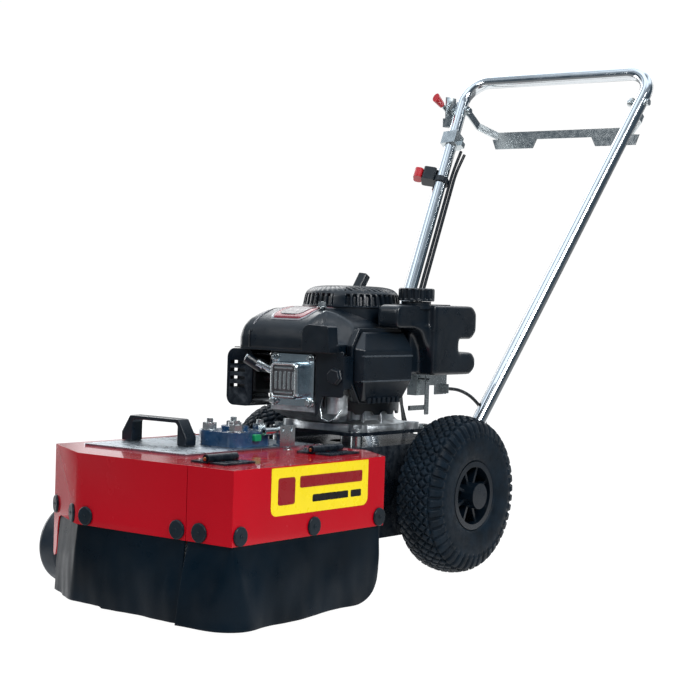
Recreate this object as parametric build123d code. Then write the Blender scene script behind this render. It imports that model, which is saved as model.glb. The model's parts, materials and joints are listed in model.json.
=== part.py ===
from build123d import *
import os
from math import cos, hypot, pi, radians, sin, sqrt

# Walk-behind weed brush machine. Lengths in mm, angles in degrees.
# It is drawn in machine axes: X across (the operator's left is +X), Y along (the brush head
# is at -Y, the handle at +Y), Z up, zero on the ground under the middle of the wheel axle.
# Every part is then moved by ORIGIN_SHIFT, so that the part's origin is the middle of the
# machine's footprint.
ORIGIN_SHIFT = (-28.5, 28.8, 0.0)

# ---------------------------------------------------------------- driving dimensions
SHEET = 2.0            # hood sheet metal
PLATE = 3.0            # frame and head plate
FIT = 0.05             # radial clearance of a shaft in its bearing
GAP = 0.4              # clearance between pieces that move past each other

WHEEL_R = 130.0        # 260 x 85 (3.00-4) wheels
WHEEL_W = 85.0
TRACK_HALF = 184.0     # middle of each wheel from the machine's middle plane
RIM_R = 56.0
HUB_R = 21.0
AXLE_R = 10.0
AXLE_END = 221.0

FRAME_HALF = 98.0      # outer half width of the frame box
FRAME_Y0, FRAME_Y1 = -300.0, 165.0
DEEP_Y0 = -225.0       # the box is deep behind this and shallow over the brush
FRAME_Z0, FRAME_Z1 = 55.0, 206.0

CRANK = (0.0, -58.0)   # engine shaft
SPINDLE = (57.0, -410.0)
SPINDLE_R = 10.0
BELT_Z = 170.0
DRIVE_R = 25.0         # pulley radii at the belt's pitch line
DRIVEN_R = 58.0
BELT_W, BELT_IN_W, BELT_T = 13.0, 8.0, 8.0

HOOD_TOP = 219.0
HOOD_BOTTOM = 118.7
HOOD_LEFT, HOOD_RIGHT = -127.5, 282.0
HOOD_FRONT, HOOD_REAR = -664.0, -280.0
SEAM_X = 200.0         # where the side flap meets the hood
HINGE_PIN = (200.0, 225.6)
HINGE_YS = ((-629.0, -568.0), (-404.0, -335.0))
SKIRT_T = 3.0
SKIRT_TOP, SKIRT_BOTTOM = 150.0, 8.0
BUTTON_R = 13.2
BUTTON_Z = 132.0
HEAD_PLATE_Z = HOOD_TOP + PLATE

BRUSH_R = 150.0        # radius of the brush disc
BRUSH_BOTTOM = 5.0

SUPPORT_R, SUPPORT_W = 60.0, 42.0
SUPPORT_Y = -523.0
SUPPORT_X = -158.0

ENGINE_Z = 230.0       # underside of the engine's base flange
TUBE_R = 12.5          # handle tube, 25 mm outside
FOOT_X = FRAME_HALF + TUBE_R + GAP
HANDLE_TOP = (214.0, 590.5, 892.0)
LEG_SLOPE = 0.6426     # run along Y for each mm of rise
LEG_FOOT_Z, LEG_BEND_Z = 140.0, 226.0
BAIL_PIVOT = (189.0, 551.0, 831.0)
BAIL_BAR = (175.0, 620.0, 785.0)


# ---------------------------------------------------------------- helpers
def box(x0, x1, y0, y1, z0, z1):
    return Pos((x0 + x1) / 2, (y0 + y1) / 2, (z0 + z1) / 2) * Box(x1 - x0, y1 - y0, z1 - z0)


def rod(start, end, radius):
    axis = Vector(*end) - Vector(*start)
    return extrude(Plane(origin=start, z_dir=axis) * Circle(radius), axis.length)


def hollow_rod(start, end, outer, inner):
    return rod(start, end, outer) - rod(start, end, inner)


def prism(points, z0, z1):
    """Vertical prism on a plan outline of (x, y) points."""
    face = make_face(Polyline(*[(x, y, z0) for x, y in points], close=True))
    return extrude(face, z1 - z0, dir=(0, 0, 1))


def side_prism(points, x0, x1):
    """Prism along X on an outline of (y, z) points."""
    face = make_face(Polyline(*[(x0, y, z) for y, z in points], close=True))
    return extrude(face, x1 - x0, dir=(1, 0, 0))


def front_prism(points, y0, y1):
    """Prism along Y on an outline of (x, z) points."""
    face = make_face(Polyline(*[(x, y0, z) for x, z in points], close=True))
    return extrude(face, y1 - y0, dir=(0, 1, 0))


def turned(profile, centre):
    """Solid of revolution about the vertical through centre, from (radius, z) points."""
    x, y = centre
    face = make_face(Polyline(*[(r, 0, z) for r, z in profile], close=True))
    return Pos(x, y, 0) * revolve(face, Axis.Z)


def ribbon(points, thickness):
    """Plan outline of a sheet that follows the points, with its thickness on their left."""
    def unit(a, b):
        length = hypot(b[0] - a[0], b[1] - a[1])
        return (b[0] - a[0]) / length, (b[1] - a[1]) / length

    steps = [unit(a, b) for a, b in zip(points, points[1:])]
    befores = [steps[0]] + steps
    afters = steps + [steps[-1]]
    inner = []
    for (x, y), (ax, ay), (bx, by) in zip(points, befores, afters):
        mitre = thickness / (1 + ax * bx + ay * by)
        inner.append((x - (ay + by) * mitre, y + (ax + bx) * mitre))
    return list(points) + inner[::-1]


def flared(upper, lower, z_high, z_low, thickness):
    """Ruled sheet between a plan path at z_high and one at z_low."""
    faces = []
    for path, z in ((lower, z_low), (upper, z_high)):
        outline = [(x, y, z) for x, y in ribbon(path, thickness)]
        faces.append(make_face(Polyline(*outline, close=True)))
    return loft(faces, ruled=True)


def bolt(point, axis, radius, length, head_r, head_h):
    """Hexagon-headed bolt whose head stands on point, its shank running back along the axis."""
    plane = Plane(origin=point, z_dir=axis)
    head = extrude(plane * RegularPolygon(head_r, 6), head_h)
    washer = extrude(plane * Circle(head_r * 1.25), 1.2)
    shank = extrude(plane * Circle(radius), -length)
    return head + washer + shank


def mirror_x(shape):
    return mirror(shape, about=Plane.YZ)


# ---------------------------------------------------------------- chassis
def axle():
    return rod((-AXLE_END, 0, WHEEL_R), (AXLE_END, 0, WHEEL_R), AXLE_R)


TONGUE = (-18.0, 128.0, -480.0, FRAME_Y0)   # inner x0, x1, outer y0, y1
TONGUE_Z0, TONGUE_Z1 = 140.0, HOOD_TOP - SHEET
BEARING_SIDE = 86.0
BEARING_H = 22.0
BEARING_BOSS = 7.0      # raised middle of the housing
BEARING_PITCH = 53.0
BOLT_R = 5.0


def bearing_bolt_places():
    half = BEARING_PITCH / 2
    return [(SPINDLE[0] + i * half, SPINDLE[1] + j * half) for i in (-1, 1) for j in (-1, 1)]


def bolt_holes(z0, z1):
    holes = [rod((x, y, z0), (x, y, z1), BOLT_R + 0.2) for x, y in bearing_bolt_places()]
    return holes


HEAD_SCREWS = ((161.0, -372.0), (136.0, -305.0), (139.0, -384.0), (-104.0, -330.0))
SCREW_R = 3.0


def frame_body():
    """Welded box over the axle with a narrower tongue that reaches under the hood."""
    half, inner = FRAME_HALF, FRAME_HALF - PLATE
    body = box(-half, half, FRAME_Y0, FRAME_Y1, TONGUE_Z0, FRAME_Z1)
    body += box(-half, half, DEEP_Y0, FRAME_Y1, FRAME_Z0, FRAME_Z1)
    body -= box(-inner, inner, FRAME_Y0 + PLATE, FRAME_Y1 - PLATE, TONGUE_Z0 + 4, FRAME_Z1 - PLATE)
    body -= box(-inner, inner, DEEP_Y0 + PLATE, FRAME_Y1 - PLATE, FRAME_Z0 - 1, FRAME_Z1 - PLATE)
    rail = box(inner - 15, inner, DEEP_Y0 + PLATE, FRAME_Y1 - PLATE, FRAME_Z0 + PLATE, FRAME_Z0 + 2 * PLATE)
    body += rail + mirror_x(rail)
    x0, x1, y0, y1 = TONGUE
    wall = 4.0
    tongue = box(x0 - wall, x1 + wall, y0, y1 + PLATE, TONGUE_Z0, TONGUE_Z1)
    tongue -= box(x0, x1, y0 + wall, y1 + PLATE + 1, TONGUE_Z0 + wall, TONGUE_Z1 - 5)
    body += tongue
    body -= box(x0, inner, y1 - 1, y1 + PLATE + 1, TONGUE_Z0 + wall, FRAME_Z1 - PLATE)
    body -= rod((*SPINDLE, TONGUE_Z0 - 1), (*SPINDLE, TONGUE_Z1 + 1), 18)
    body -= rod((*CRANK, FRAME_Z1 - 10), (*CRANK, FRAME_Z1 + 1), 30)
    body -= rod((-half - 1, 0, WHEEL_R), (half + 1, 0, WHEEL_R), AXLE_R)
    for hole in bolt_holes(TONGUE_Z0 - 1, TONGUE_Z1 + 1):
        body -= hole
    for y, z in leg_bolt_places():
        body -= rod((-half - 1, y, z), (half + 1, y, z), 4)
    return body


def belt_cover():
    """Removable plate that closes the frame box from below."""
    inner = FRAME_HALF - PLATE
    return box(-inner, inner, DEEP_Y0 + PLATE, FRAME_Y1 - PLATE, FRAME_Z0, FRAME_Z0 + PLATE)


ENGINE_PLATE = (-95.0, 95.0, -158.0, 62.0)
PLATE_POSTS = ((-82.0, -140.0), (82.0, -140.0), (-82.0, 46.0), (82.0, 46.0))


def engine_plate():
    """Plate that the engine is bolted to, on four posts above the frame."""
    x0, x1, y0, y1 = ENGINE_PLATE
    plate = box(x0, x1, y0, y1, ENGINE_Z - 6, ENGINE_Z)
    plate = fillet(plate.edges().filter_by(Axis.Z), 14)
    plate -= rod((*CRANK, ENGINE_Z - 7), (*CRANK, ENGINE_Z + 1), 30)
    for x, y in PLATE_POSTS:
        plate -= rod((x, y, ENGINE_Z - 7), (x, y, ENGINE_Z + 1), 5)
    return plate


def engine_plate_bolts():
    """Posts with their bolts and the washers under the heads."""
    pieces = []
    for x, y in PLATE_POSTS:
        post = hollow_rod((x, y, FRAME_Z1), (x, y, ENGINE_Z - 6), 10, 5)
        stud = bolt((x, y, ENGINE_Z), (0, 0, 1), 5, ENGINE_Z - FRAME_Z1, 8, 6)
        pieces.append(post + stud)
    return pieces


def head_plate():
    """Galvanised plate on the hood that carries the bearing and the grab handle."""
    plate = box(-89, 118, -580, -292, HOOD_TOP, HEAD_PLATE_Z)
    plate = fillet(plate.edges().filter_by(Axis.Z), 6)
    plate -= rod((*SPINDLE, HOOD_TOP - 1), (*SPINDLE, HEAD_PLATE_Z + 1), 18)
    for hole in bolt_holes(HOOD_TOP - 1, HEAD_PLATE_Z + 1):
        plate -= hole
    return plate


def head_bracket():
    """Zinc angle bracket on the head plate with a cross tube beside it."""
    z = HEAD_PLATE_Z
    upright = box(114.5, 117.5, -376, -341, z, z + 31)
    upright -= rod((113, -369, z + 25), (119, -369, z + 25), 2.6)
    upright -= rod((113, -350, z + 25), (119, -350, z + 25), 3.2)
    foot = box(104, 117.5, -376, -341, z, z + 3)
    tube = hollow_rod((107.5, -402, z + 23), (107.5, -343, z + 23), 5.5, 3)
    saddle = box(103.5, 111.5, -368, -354, z + 3, z + 17.5)
    return [upright + foot + saddle, tube]


# ---------------------------------------------------------------- brush head
def hood_shell():
    """Red hood: top sheet, front, chamfered corner, left wall with the support wheel's leg."""
    edge = SEAM_X - 0.5
    chamfer_a, chamfer_b = (HOOD_LEFT, -597.0), (-10.0, HOOD_FRONT)
    plan = [chamfer_a, chamfer_b, (edge, HOOD_FRONT), (edge, HOOD_REAR), (HOOD_LEFT, HOOD_REAR)]
    hood = prism(plan, HOOD_TOP - SHEET, HOOD_TOP)
    walls = [(HOOD_LEFT, HOOD_REAR), chamfer_a, chamfer_b, (edge, HOOD_FRONT)]
    hood += prism(ribbon(walls, SHEET), HOOD_BOTTOM, HOOD_TOP)
    for x0, x1 in ((HOOD_LEFT, -FRAME_HALF - 4), (FRAME_HALF + 4, edge)):
        hood += box(x0, x1, HOOD_REAR - SHEET, HOOD_REAR, HOOD_BOTTOM, HOOD_TOP)
    leg = [(-597, 125), (-597, 64), (-590, 56), (-572, 44), (-556, 37), (-490, 37), (-474, 44), (-440, 125)]
    hood += side_prism(leg, HOOD_LEFT, HOOD_LEFT + SHEET)
    hood += chamfer_lobe(chamfer_a, chamfer_b)
    hood -= rod((*SPINDLE, HOOD_TOP - 5), (*SPINDLE, HOOD_TOP + 1), 18)
    for hole in bolt_holes(HOOD_TOP - 5, HOOD_TOP + 1):
        hood -= hole
    hood -= rod((HOOD_LEFT - 1, SUPPORT_Y, SUPPORT_R), (HOOD_LEFT + 4, SUPPORT_Y, SUPPORT_R), 6)
    for x, y in HEAD_SCREWS:
        hood -= rod((x, y, HOOD_TOP - 5), (x, y, HOOD_TOP + 1), SCREW_R)
    for point, normal in hood_buttons():
        hood -= button_hole(point, normal)
    return hood


def chamfer_lobe(corner, along):
    """Narrow tongue of the chamfer sheet that stiffens the front of the support wheel's leg."""
    length = hypot(along[0] - corner[0], along[1] - corner[1])
    ux, uy = (along[0] - corner[0]) / length, (along[1] - corner[1]) / length
    plane = Plane(origin=(*corner, 0), x_dir=(ux, uy, 0), z_dir=(uy, -ux, 0))
    outline = [(0, 125), (44, 125), (44, 118.7), (30, 115), (25, 106), (22, 94), (19, 70), (13, 58), (5, 55), (0, 58)]
    return extrude(plane * make_face(Polyline(*outline, close=True)), -SHEET)


def hood_buttons():
    """(point, outward normal) of the rubber buttons on the hood."""
    length = hypot(117.5, 67.0)
    ux, uy = 117.5 / length, -67.0 / length
    corner = [(HOOD_LEFT + ux * s, -597 + uy * s) for s in (15.0, 115.0)]
    places = [((x, y, BUTTON_Z), (uy, -ux, 0)) for x, y in corner]
    places += [((x, HOOD_FRONT, BUTTON_Z), (0, -1, 0)) for x in (9.5, 184.6)]
    places += [((HOOD_LEFT, y, BUTTON_Z), (-1, 0, 0)) for y in (-412.0, -310.0)]
    return places


def flap_buttons_places():
    places = [((224.7, HOOD_FRONT, BUTTON_Z), (0, -1, 0))]
    places += [((HOOD_RIGHT, y, BUTTON_Z), (1, 0, 0)) for y in (-649.0, -495.5, -346.0)]
    return places


def button_hole(point, normal):
    p, n = Vector(*point), Vector(*normal)
    return rod(tuple(p + n * 2), tuple(p - n * 12), 3.0)


def button(point, normal):
    """Rubber-covered rivet that holds the skirt against the hood."""
    p, n = Vector(*point), Vector(*normal)
    disc = rod(tuple(p), tuple(p + n * 3.5), BUTTON_R)
    disc = chamfer(disc.edges().filter_by(GeomType.CIRCLE).sort_by(Axis(point, normal))[-1], 1.2)
    shank = rod(tuple(p), tuple(p - n * 6.5), 3.0)
    back = rod(tuple(p - n * 5.6), tuple(p - n * 7.0), 7.0)
    return disc + shank + back


def main_skirt():
    """Rubber apron inside the hood, flaring towards the ground, with a straight left-hand piece."""
    in_ = SHEET + 0.5
    upper = [(-99.5, -610.1), (-9.3, HOOD_FRONT + in_), (196.0, HOOD_FRONT + in_)]
    lower = [(-97.0, -625.0), (-14.0, -668.0), (196.0, -669.5)]
    front = prism(ribbon(upper, SKIRT_T), 115, SKIRT_TOP) + flared(upper, lower, 115, SKIRT_BOTTOM, SKIRT_T)
    left = box(HOOD_LEFT + in_, HOOD_LEFT + in_ + SKIRT_T, -590, -286, SKIRT_BOTTOM, SKIRT_TOP)
    left -= rod((HOOD_LEFT, SUPPORT_Y, SUPPORT_R), (HOOD_LEFT + 9, SUPPORT_Y, SUPPORT_R), 14)
    pieces = [front, left]
    for point, normal in hood_buttons():
        pieces = [piece - button_hole(point, normal) for piece in pieces]
    return pieces


def flap_skirt():
    in_ = SHEET + 0.5
    right = HOOD_RIGHT - in_
    upper = [(201.5, HOOD_FRONT + in_), (right, HOOD_FRONT + in_), (right, -340.0)]
    lower = [(199.5, -683.0), (297.0, -679.0), (286.0, -350.0)]
    skirt = prism(ribbon(upper, SKIRT_T), 115, SKIRT_TOP) + flared(upper, lower, 115, SKIRT_BOTTOM, SKIRT_T)
    corner = [(-377, SKIRT_BOTTOM - 1), (-362, 12), (-352, 22), (-345, 38), (-330, 44), (-330, SKIRT_BOTTOM - 1)]
    skirt -= side_prism(corner, 260, 320)
    for point, normal in flap_buttons_places():
        skirt -= button_hole(point, normal)
    return skirt


def side_flap():
    """Hinged right-hand side of the hood, which opens for brushing close to a wall."""
    edge = SEAM_X + 0.5
    plan = [(edge, HOOD_FRONT), (HOOD_RIGHT, HOOD_FRONT), (HOOD_RIGHT, -334), (206, HOOD_REAR), (edge, HOOD_REAR)]
    flap = prism(plan, HOOD_TOP - SHEET, HOOD_TOP)
    walls = [(edge, HOOD_FRONT), (HOOD_RIGHT, HOOD_FRONT), (HOOD_RIGHT, -334), (206, HOOD_REAR)]
    flap += prism(ribbon(walls, SHEET), HOOD_BOTTOM, HOOD_TOP)
    for point, normal in flap_buttons_places():
        flap -= button_hole(point, normal)
    return flap


def knuckles(y0, y1, count, first):
    """Alternate hinge knuckles along the pin, as rings of every second slot."""
    x, z = HINGE_PIN
    step = (y1 - y0) / count
    rings = []
    for index in range(first, count, 2):
        a, b = y0 + step * index + 0.2, y0 + step * (index + 1) - 0.2
        rings.append((a, b, rod((x, a, z), (x, b, z), 6.0)))
    return rings


def hinge_leaf(y0, y1, first, side):
    """One leaf with its knuckles: side -1 lies on the hood, +1 on the flap."""
    x, z = HINGE_PIN
    width = 27.0 if side < 0 else 36.0
    x_far = x + side * width
    near = x + side * 8.0
    leaf = box(min(x_far, near), max(x_far, near), y0, y1, HOOD_TOP, HOOD_TOP + 3)
    for a, b, ring in knuckles(y0, y1, 5, first):
        leaf += ring
        leaf += box(min(near, x), max(near, x), a, b, HOOD_TOP + 0.7, HOOD_TOP + 3)
    return leaf


def hinge_pins():
    x, z = HINGE_PIN
    return [rod((x, y0 - 1, z), (x, y1 + 1, z), 3.0) for y0, y1 in HINGE_YS]


def hinge_fixed_leaves():
    """Hood-side leaves, each with its pin fixed in its knuckles."""
    return [hinge_leaf(y0, y1, 0, -1) + pin for (y0, y1), pin in zip(HINGE_YS, hinge_pins())]


def hinge_moving_leaves():
    x, z = HINGE_PIN
    leaves = []
    for y0, y1 in HINGE_YS:
        bore = rod((x, y0 - 1, z), (x, y1 + 1, z), 3.0 + FIT)
        leaves.append(hinge_leaf(y0, y1, 1, 1) - bore)
    return leaves


def grab_handle():
    """Angular plastic bridge handle bolted to the head plate."""
    z = HEAD_PLATE_Z
    outer = [(-95.5, z), (-95.5, z + 13), (-79, z + 39), (21, z + 39), (37, z + 13), (37, z)]
    inner = [(19, z), (19, z + 29), (15, z + 33), (-69, z + 33), (-73.5, z + 29), (-73.5, z)]
    return front_prism(outer + inner, -495, -472)


def head_fasteners():
    """Zinc bolts of the upper bearing and screws of the hood."""
    pieces = []
    for x, y in bearing_bolt_places():
        top = HEAD_PLATE_Z + BEARING_H
        pieces.append(bolt((x, y, top), (0, 0, 1), BOLT_R, top - TONGUE_Z1 + 5, 11.0, 11.0)
                      + rod((x, y, top), (x, y, top + 17), BOLT_R))
        below = TONGUE_Z0 - BEARING_H
        pieces.append(bolt((x, y, below), (0, 0, -1), BOLT_R, BEARING_H + 5, 9.0, 7.0))
    for x, y in HEAD_SCREWS:
        pieces.append(bolt((x, y, HOOD_TOP), (0, 0, 1), SCREW_R, 8.0, 6.0, 5.0))
    return pieces


def bearing_housing(z0, outward):
    """Square four-bolt flange housing with rounded corners and a raised middle on its outer face."""
    x, y = SPINDLE
    half = BEARING_SIDE / 2
    body = box(x - half, x + half, y - half, y + half, z0, z0 + BEARING_H)
    body = fillet(body.edges().filter_by(Axis.Z), 20)
    face = z0 + BEARING_H if outward > 0 else z0
    boss = hollow_rod((x, y, face), (x, y, face + outward * BEARING_BOSS), 21, SPINDLE_R + FIT)
    body += boss
    body -= rod((x, y, z0 - 1), (x, y, z0 + BEARING_H + 1), SPINDLE_R + FIT)
    for bx, by in bearing_bolt_places():
        body -= rod((bx, by, z0 - 1), (bx, by, z0 + BEARING_H + 1), BOLT_R)
    return body


def spindle():
    """Vertical brush shaft with the nut that holds the brush disc."""
    shaft = rod((*SPINDLE, 62), (*SPINDLE, HEAD_PLATE_Z + BEARING_H + 12), SPINDLE_R)
    nut = extrude(Plane(origin=(*SPINDLE, 70)) * RegularPolygon(17, 6), 14)
    return shaft + nut


def pulley(centre, pitch_r, bore_r, hub_r, hub_z0, hub_z1):
    """V-grooved pulley: the belt sits with a small gap all round in the groove."""
    rim = pitch_r + BELT_T / 2 + 1.0
    root = pitch_r - BELT_T / 2 - GAP
    z = BELT_Z
    face, floor = BELT_W / 2 + 2 * GAP, BELT_IN_W / 2 + GAP
    profile = [(bore_r, z - face - 3), (rim, z - face - 3), (rim, z - face), (root, z - floor),
               (root, z + floor), (rim, z + face), (rim, z + face + 3), (bore_r, z + face + 3)]
    body = turned(profile, centre)
    hub = hollow_rod((*centre, hub_z0), (*centre, hub_z1), hub_r, bore_r)
    return body + hub


def driven_pulley():
    body = pulley(SPINDLE, DRIVEN_R, SPINDLE_R, 20, 156, 184)
    for index in range(6):
        angle = radians(60 * index)
        x, y = SPINDLE[0] + 36 * cos(angle), SPINDLE[1] + 36 * sin(angle)
        body -= rod((x, y, 150), (x, y, 190), 9)
    return body


def brush_disc():
    """Steel carrier of the wire tufts."""
    disc = turned([(SPINDLE_R, 84), (BRUSH_R, 84), (BRUSH_R, 91), (24, 91), (24, 108), (SPINDLE_R, 108)], SPINDLE)
    for index in range(6):
        angle = radians(60 * index + 30)
        x, y = SPINDLE[0] + 60 * cos(angle), SPINDLE[1] + 60 * sin(angle)
        disc -= rod((x, y, 80), (x, y, 95), 14)
    return disc


def brush_tufts():
    """Bundles of round wire in two rings, leaning outwards."""
    pieces = []
    for ring_r, count, lean in ((138.0, 24, 12.0), (108.0, 18, 8.0)):
        for index in range(count):
            angle = 2 * pi * index / count
            reach = (84 - BRUSH_BOTTOM - 2) * sin(radians(lean)) / cos(radians(lean))
            top = (SPINDLE[0] + ring_r * cos(angle), SPINDLE[1] + ring_r * sin(angle), 84.0)
            low_r = ring_r + reach
            low = (SPINDLE[0] + low_r * cos(angle), SPINDLE[1] + low_r * sin(angle), BRUSH_BOTTOM + 2)
            tuft = rod((top[0], top[1], 84.0), low, 6.5)
            pieces.append(tuft - box(-200, 300, -700, -100, 84, 100))
    return pieces


def support_wheel():
    """Solid wheel beside the hood."""
    half = SUPPORT_W / 2
    y, z = SUPPORT_Y, SUPPORT_R
    wheel = rod((SUPPORT_X - half, y, z), (SUPPORT_X + half, y, z), SUPPORT_R)
    wheel = fillet(wheel.edges().filter_by(GeomType.CIRCLE), 9)
    wheel -= rod((SUPPORT_X - half - 1, y, z), (SUPPORT_X + half + 1, y, z), 6 + FIT)
    wheel += hollow_rod((SUPPORT_X + half - 1, y, z), (SUPPORT_X + half + 4, y, z), 14, 6 + FIT)
    return wheel


def support_axle():
    """Shoulder bolt through the hood's leg."""
    y, z = SUPPORT_Y, SUPPORT_R
    outer = SUPPORT_X - SUPPORT_W / 2 - GAP
    shank = rod((outer, y, z), (HOOD_LEFT + 10, y, z), 6)
    head = extrude(Plane(origin=(outer, y, z), z_dir=(-1, 0, 0)) * RegularPolygon(10, 6), 6)
    nut = extrude(Plane(origin=(HOOD_LEFT + SHEET, y, z), z_dir=(1, 0, 0)) * RegularPolygon(10, 6), 7)
    return shank + head + nut


# ---------------------------------------------------------------- belt drive
def belt_path():
    """Belt's pitch line: two arcs and the straight runs that touch both pulleys."""
    a, b = Vector(*CRANK, BELT_Z), Vector(*SPINDLE, BELT_Z)
    line = b - a
    along = line.normalized()
    across = Vector(-along.Y, along.X)
    cosine = (DRIVE_R - DRIVEN_R) / line.length
    sine = sqrt(1 - cosine * cosine)
    (a0, b0), (a1, b1) = [(a + normal * DRIVE_R, b + normal * DRIVEN_R)
                          for normal in (along * cosine + across * sine, along * cosine - across * sine)]
    return Wire([Line(a0, b0), ThreePointArc(b0, b + along * DRIVEN_R, b1), Line(b1, a1),
                 ThreePointArc(a1, a - along * DRIVE_R, a0)])


def drive_belt():
    """Closed V-belt round both pulleys, as a trapezium carried along the pitch line."""
    path = belt_path()
    plane = Plane(origin=path @ 0, x_dir=(0, 0, 1), z_dir=path % 0)
    outward = 1 if (path @ 0 - Vector(*CRANK, BELT_Z)).dot(plane.y_dir) > 0 else -1
    wide, narrow, half = BELT_W / 2, BELT_IN_W / 2, BELT_T / 2 * outward
    section = make_face(plane * Polyline((-wide, half), (wide, half), (narrow, -half), (-narrow, -half), close=True))
    return sweep(section, path=path)


def drive_pulley():
    return pulley(CRANK, DRIVE_R, 12.5, 20, 152, 186)


IDLER_ARM_PIVOT = (-63.5, -120.0)
IDLER = (-63.5, -190.0)
IDLER_R = 22.0


def tension_arm():
    """Arm under the frame's top plate that swings the idler against the belt."""
    px, py = IDLER_ARM_PIVOT
    ix, iy = IDLER
    arm = box(px - 12, px + 12, iy, py, BELT_Z + 14, BELT_Z + 19)
    arm += rod((px, py, BELT_Z + 14), (px, py, BELT_Z + 26), 14)
    arm += rod((ix, iy, BELT_Z + 14), (ix, iy, BELT_Z + 19), 12)
    arm += rod((ix, iy, BELT_Z - 12), (ix, iy, BELT_Z + 16), 6)
    arm -= rod((px, py, BELT_Z), (px, py, BELT_Z + 40), 6 + FIT)
    return arm


def tension_pivot():
    """Pin that hangs from the frame's top plate and carries the tension arm."""
    px, py = IDLER_ARM_PIVOT
    pin = rod((px, py, BELT_Z + 10), (px, py, FRAME_Z1 - PLATE), 6)
    head = rod((px, py, BELT_Z + 10), (px, py, BELT_Z + 13.6), 11)
    collar = rod((px, py, BELT_Z + 26.4), (px, py, FRAME_Z1 - PLATE), 11)
    return pin + head + collar


def tension_idler():
    ix, iy = IDLER
    body = hollow_rod((ix, iy, BELT_Z - 9), (ix, iy, BELT_Z + 12), IDLER_R, 6 + FIT)
    return body


# ---------------------------------------------------------------- wheels
def tyre():
    """Solid 260 x 85 tyre of the +X wheel."""
    w = WHEEL_W / 2
    profile = [(RIM_R, -34), (RIM_R + 6, -38), (86, -w), (104, -w), (118, -36), (127, -22), (130, 0)]
    mirrored = [(r, -x) for r, x in profile[:-1]][::-1]
    outline = [(0, r, x) for r, x in profile + mirrored]
    face = make_face(Polyline(*outline, close=True))
    solid = revolve(face, Axis.Z)
    return Pos(TRACK_HALF, 0, WHEEL_R) * Rot(0, 90, 0) * solid


def rim():
    """Moulded rim with spokes, a bore for the bushes and a hub cap over the axle's end."""
    barrel_in = 47.0
    barrel = Cylinder(RIM_R, 72) - Cylinder(barrel_in, 80)
    web = Cylinder(barrel_in + 1, 8)
    for index in range(8):
        web -= Rot(0, 0, 45 * index) * Pos(36, 0, 0) * Cylinder(8.5, 20)
    hub = Cylinder(HUB_R, 77)
    body = barrel + web + hub
    for index in range(8):
        rib = Rot(0, 0, 45 * index + 22.5) * Pos(34, 0, 14) * Box(30, 5, 28)
        body += rib
    body -= Cylinder(13 + FIT, 90)
    cap = Pos(0, 0, 42) * Cylinder(HUB_R, 10) - Pos(0, 0, 40) * Cylinder(16, 6.5)
    body += cap
    return Pos(TRACK_HALF, 0, WHEEL_R) * Rot(0, 90, 0) * body


def wheel_bushes():
    """Bushes and spacer tubes on the axle."""
    pieces = []
    for sign in (1, -1):
        for a, b, outer in ((FRAME_HALF, 145.0, 14.0), (146.5, 168.0, 13.0), (198.0, 219.0, 13.0)):
            start, end = (sign * a, 0, WHEEL_R), (sign * b, 0, WHEEL_R)
            pieces.append(hollow_rod(start, end, outer, AXLE_R))
    return pieces


# ---------------------------------------------------------------- engine
CRANKSHAFT_R = 12.5
COWL_Z0, COWL_Z1 = 358.0, 430.0
COWL_BOLT = (22.0, -165.0)
DOME_R = 82.0
DOME_TOP = 467.0


def crankcase():
    """Cast base flange and crankcase with an oil sump bulge towards the cylinder."""
    z = ENGINE_Z
    flange = rod((*CRANK, z), (*CRANK, z + 11), 95)
    lobes = [rod((x, y, z), (x, y, z + 11), 15) for x, y in ((70, -122), (-70, -122), (78, 12), (-78, 12))]
    body = turned([(CRANKSHAFT_R, z + 10), (78, z + 10), (74, z + 40), (74, z + 96), (CRANKSHAFT_R, z + 96)], CRANK)
    case = flange + body
    for lobe in lobes:
        case += lobe
    case += box(-52, 52, -120, -60, z + 11, z + 96)
    case -= rod((*CRANK, z - 1), (*CRANK, z + 120), CRANKSHAFT_R + FIT)
    for x, y in PLATE_POSTS:
        case -= rod((x, y, z - 1), (x, y, z + 12), 11)
    return case


PLUG_SEAT = (-40.0, -197.4, 325.0)
PLUG_END = (-66.0, -213.0, 330.0)
PLUG_R = 7.0


def cylinder_block():
    """Finned cylinder and head, lying towards the front."""
    z0, z1 = 268.0, 352.0
    block = box(-36, 36, -196, -120, z0 + 8, z1 - 8)
    for index in range(1, 8):
        y = -128 - index * 8.4
        block += box(-47, 47, y - 3.2, y, z0, z1)
    block += box(-44, 44, -207, -190, z0 - 2, z1)
    block += side_prism([(-206, 269), (-206, 262), (-156, 244), (-120.3, 244), (-120.3, 269)], -46, 46)
    block -= rod((*CRANK, z0 - 30), (*CRANK, z1), 78.3)
    return block - rod(PLUG_SEAT, PLUG_END, PLUG_R)


VALVE_SCREWS = ((-34, 277), (39, 277), (-34, 347), (39, 347))


def valve_cover():
    """Pressed cover with a raised middle."""
    flange = box(-41, 46, -211, -207, 270, 354)
    flange = fillet(flange.edges().filter_by(Axis.Y), 10)
    for x, z in VALVE_SCREWS:
        flange -= rod((x, -212, z), (x, -206, z), SCREW_R)
    raised = box(-29, 27, -230, -210, 282, 341)
    raised = fillet(raised.edges().filter_by(Axis.Y), 9)
    raised = fillet(raised.faces().sort_by(Axis.Y)[0].edges(), 4)
    return flange + raised


def engine_bolts():
    """Valve cover screws and the cowl's silver bolt."""
    pieces = [bolt((x, -211, z), (0, -1, 0), SCREW_R, 3.9, 6.0, 5.0) for x, z in VALVE_SCREWS]
    pieces.append(bolt((*COWL_BOLT, COWL_Z1), (0, 0, 1), 3.0, 2.9, 7.0, 9.0))
    return pieces


def crankshaft():
    shaft = rod((*CRANK, 146), (*CRANK, 425), CRANKSHAFT_R)
    return shaft


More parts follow.
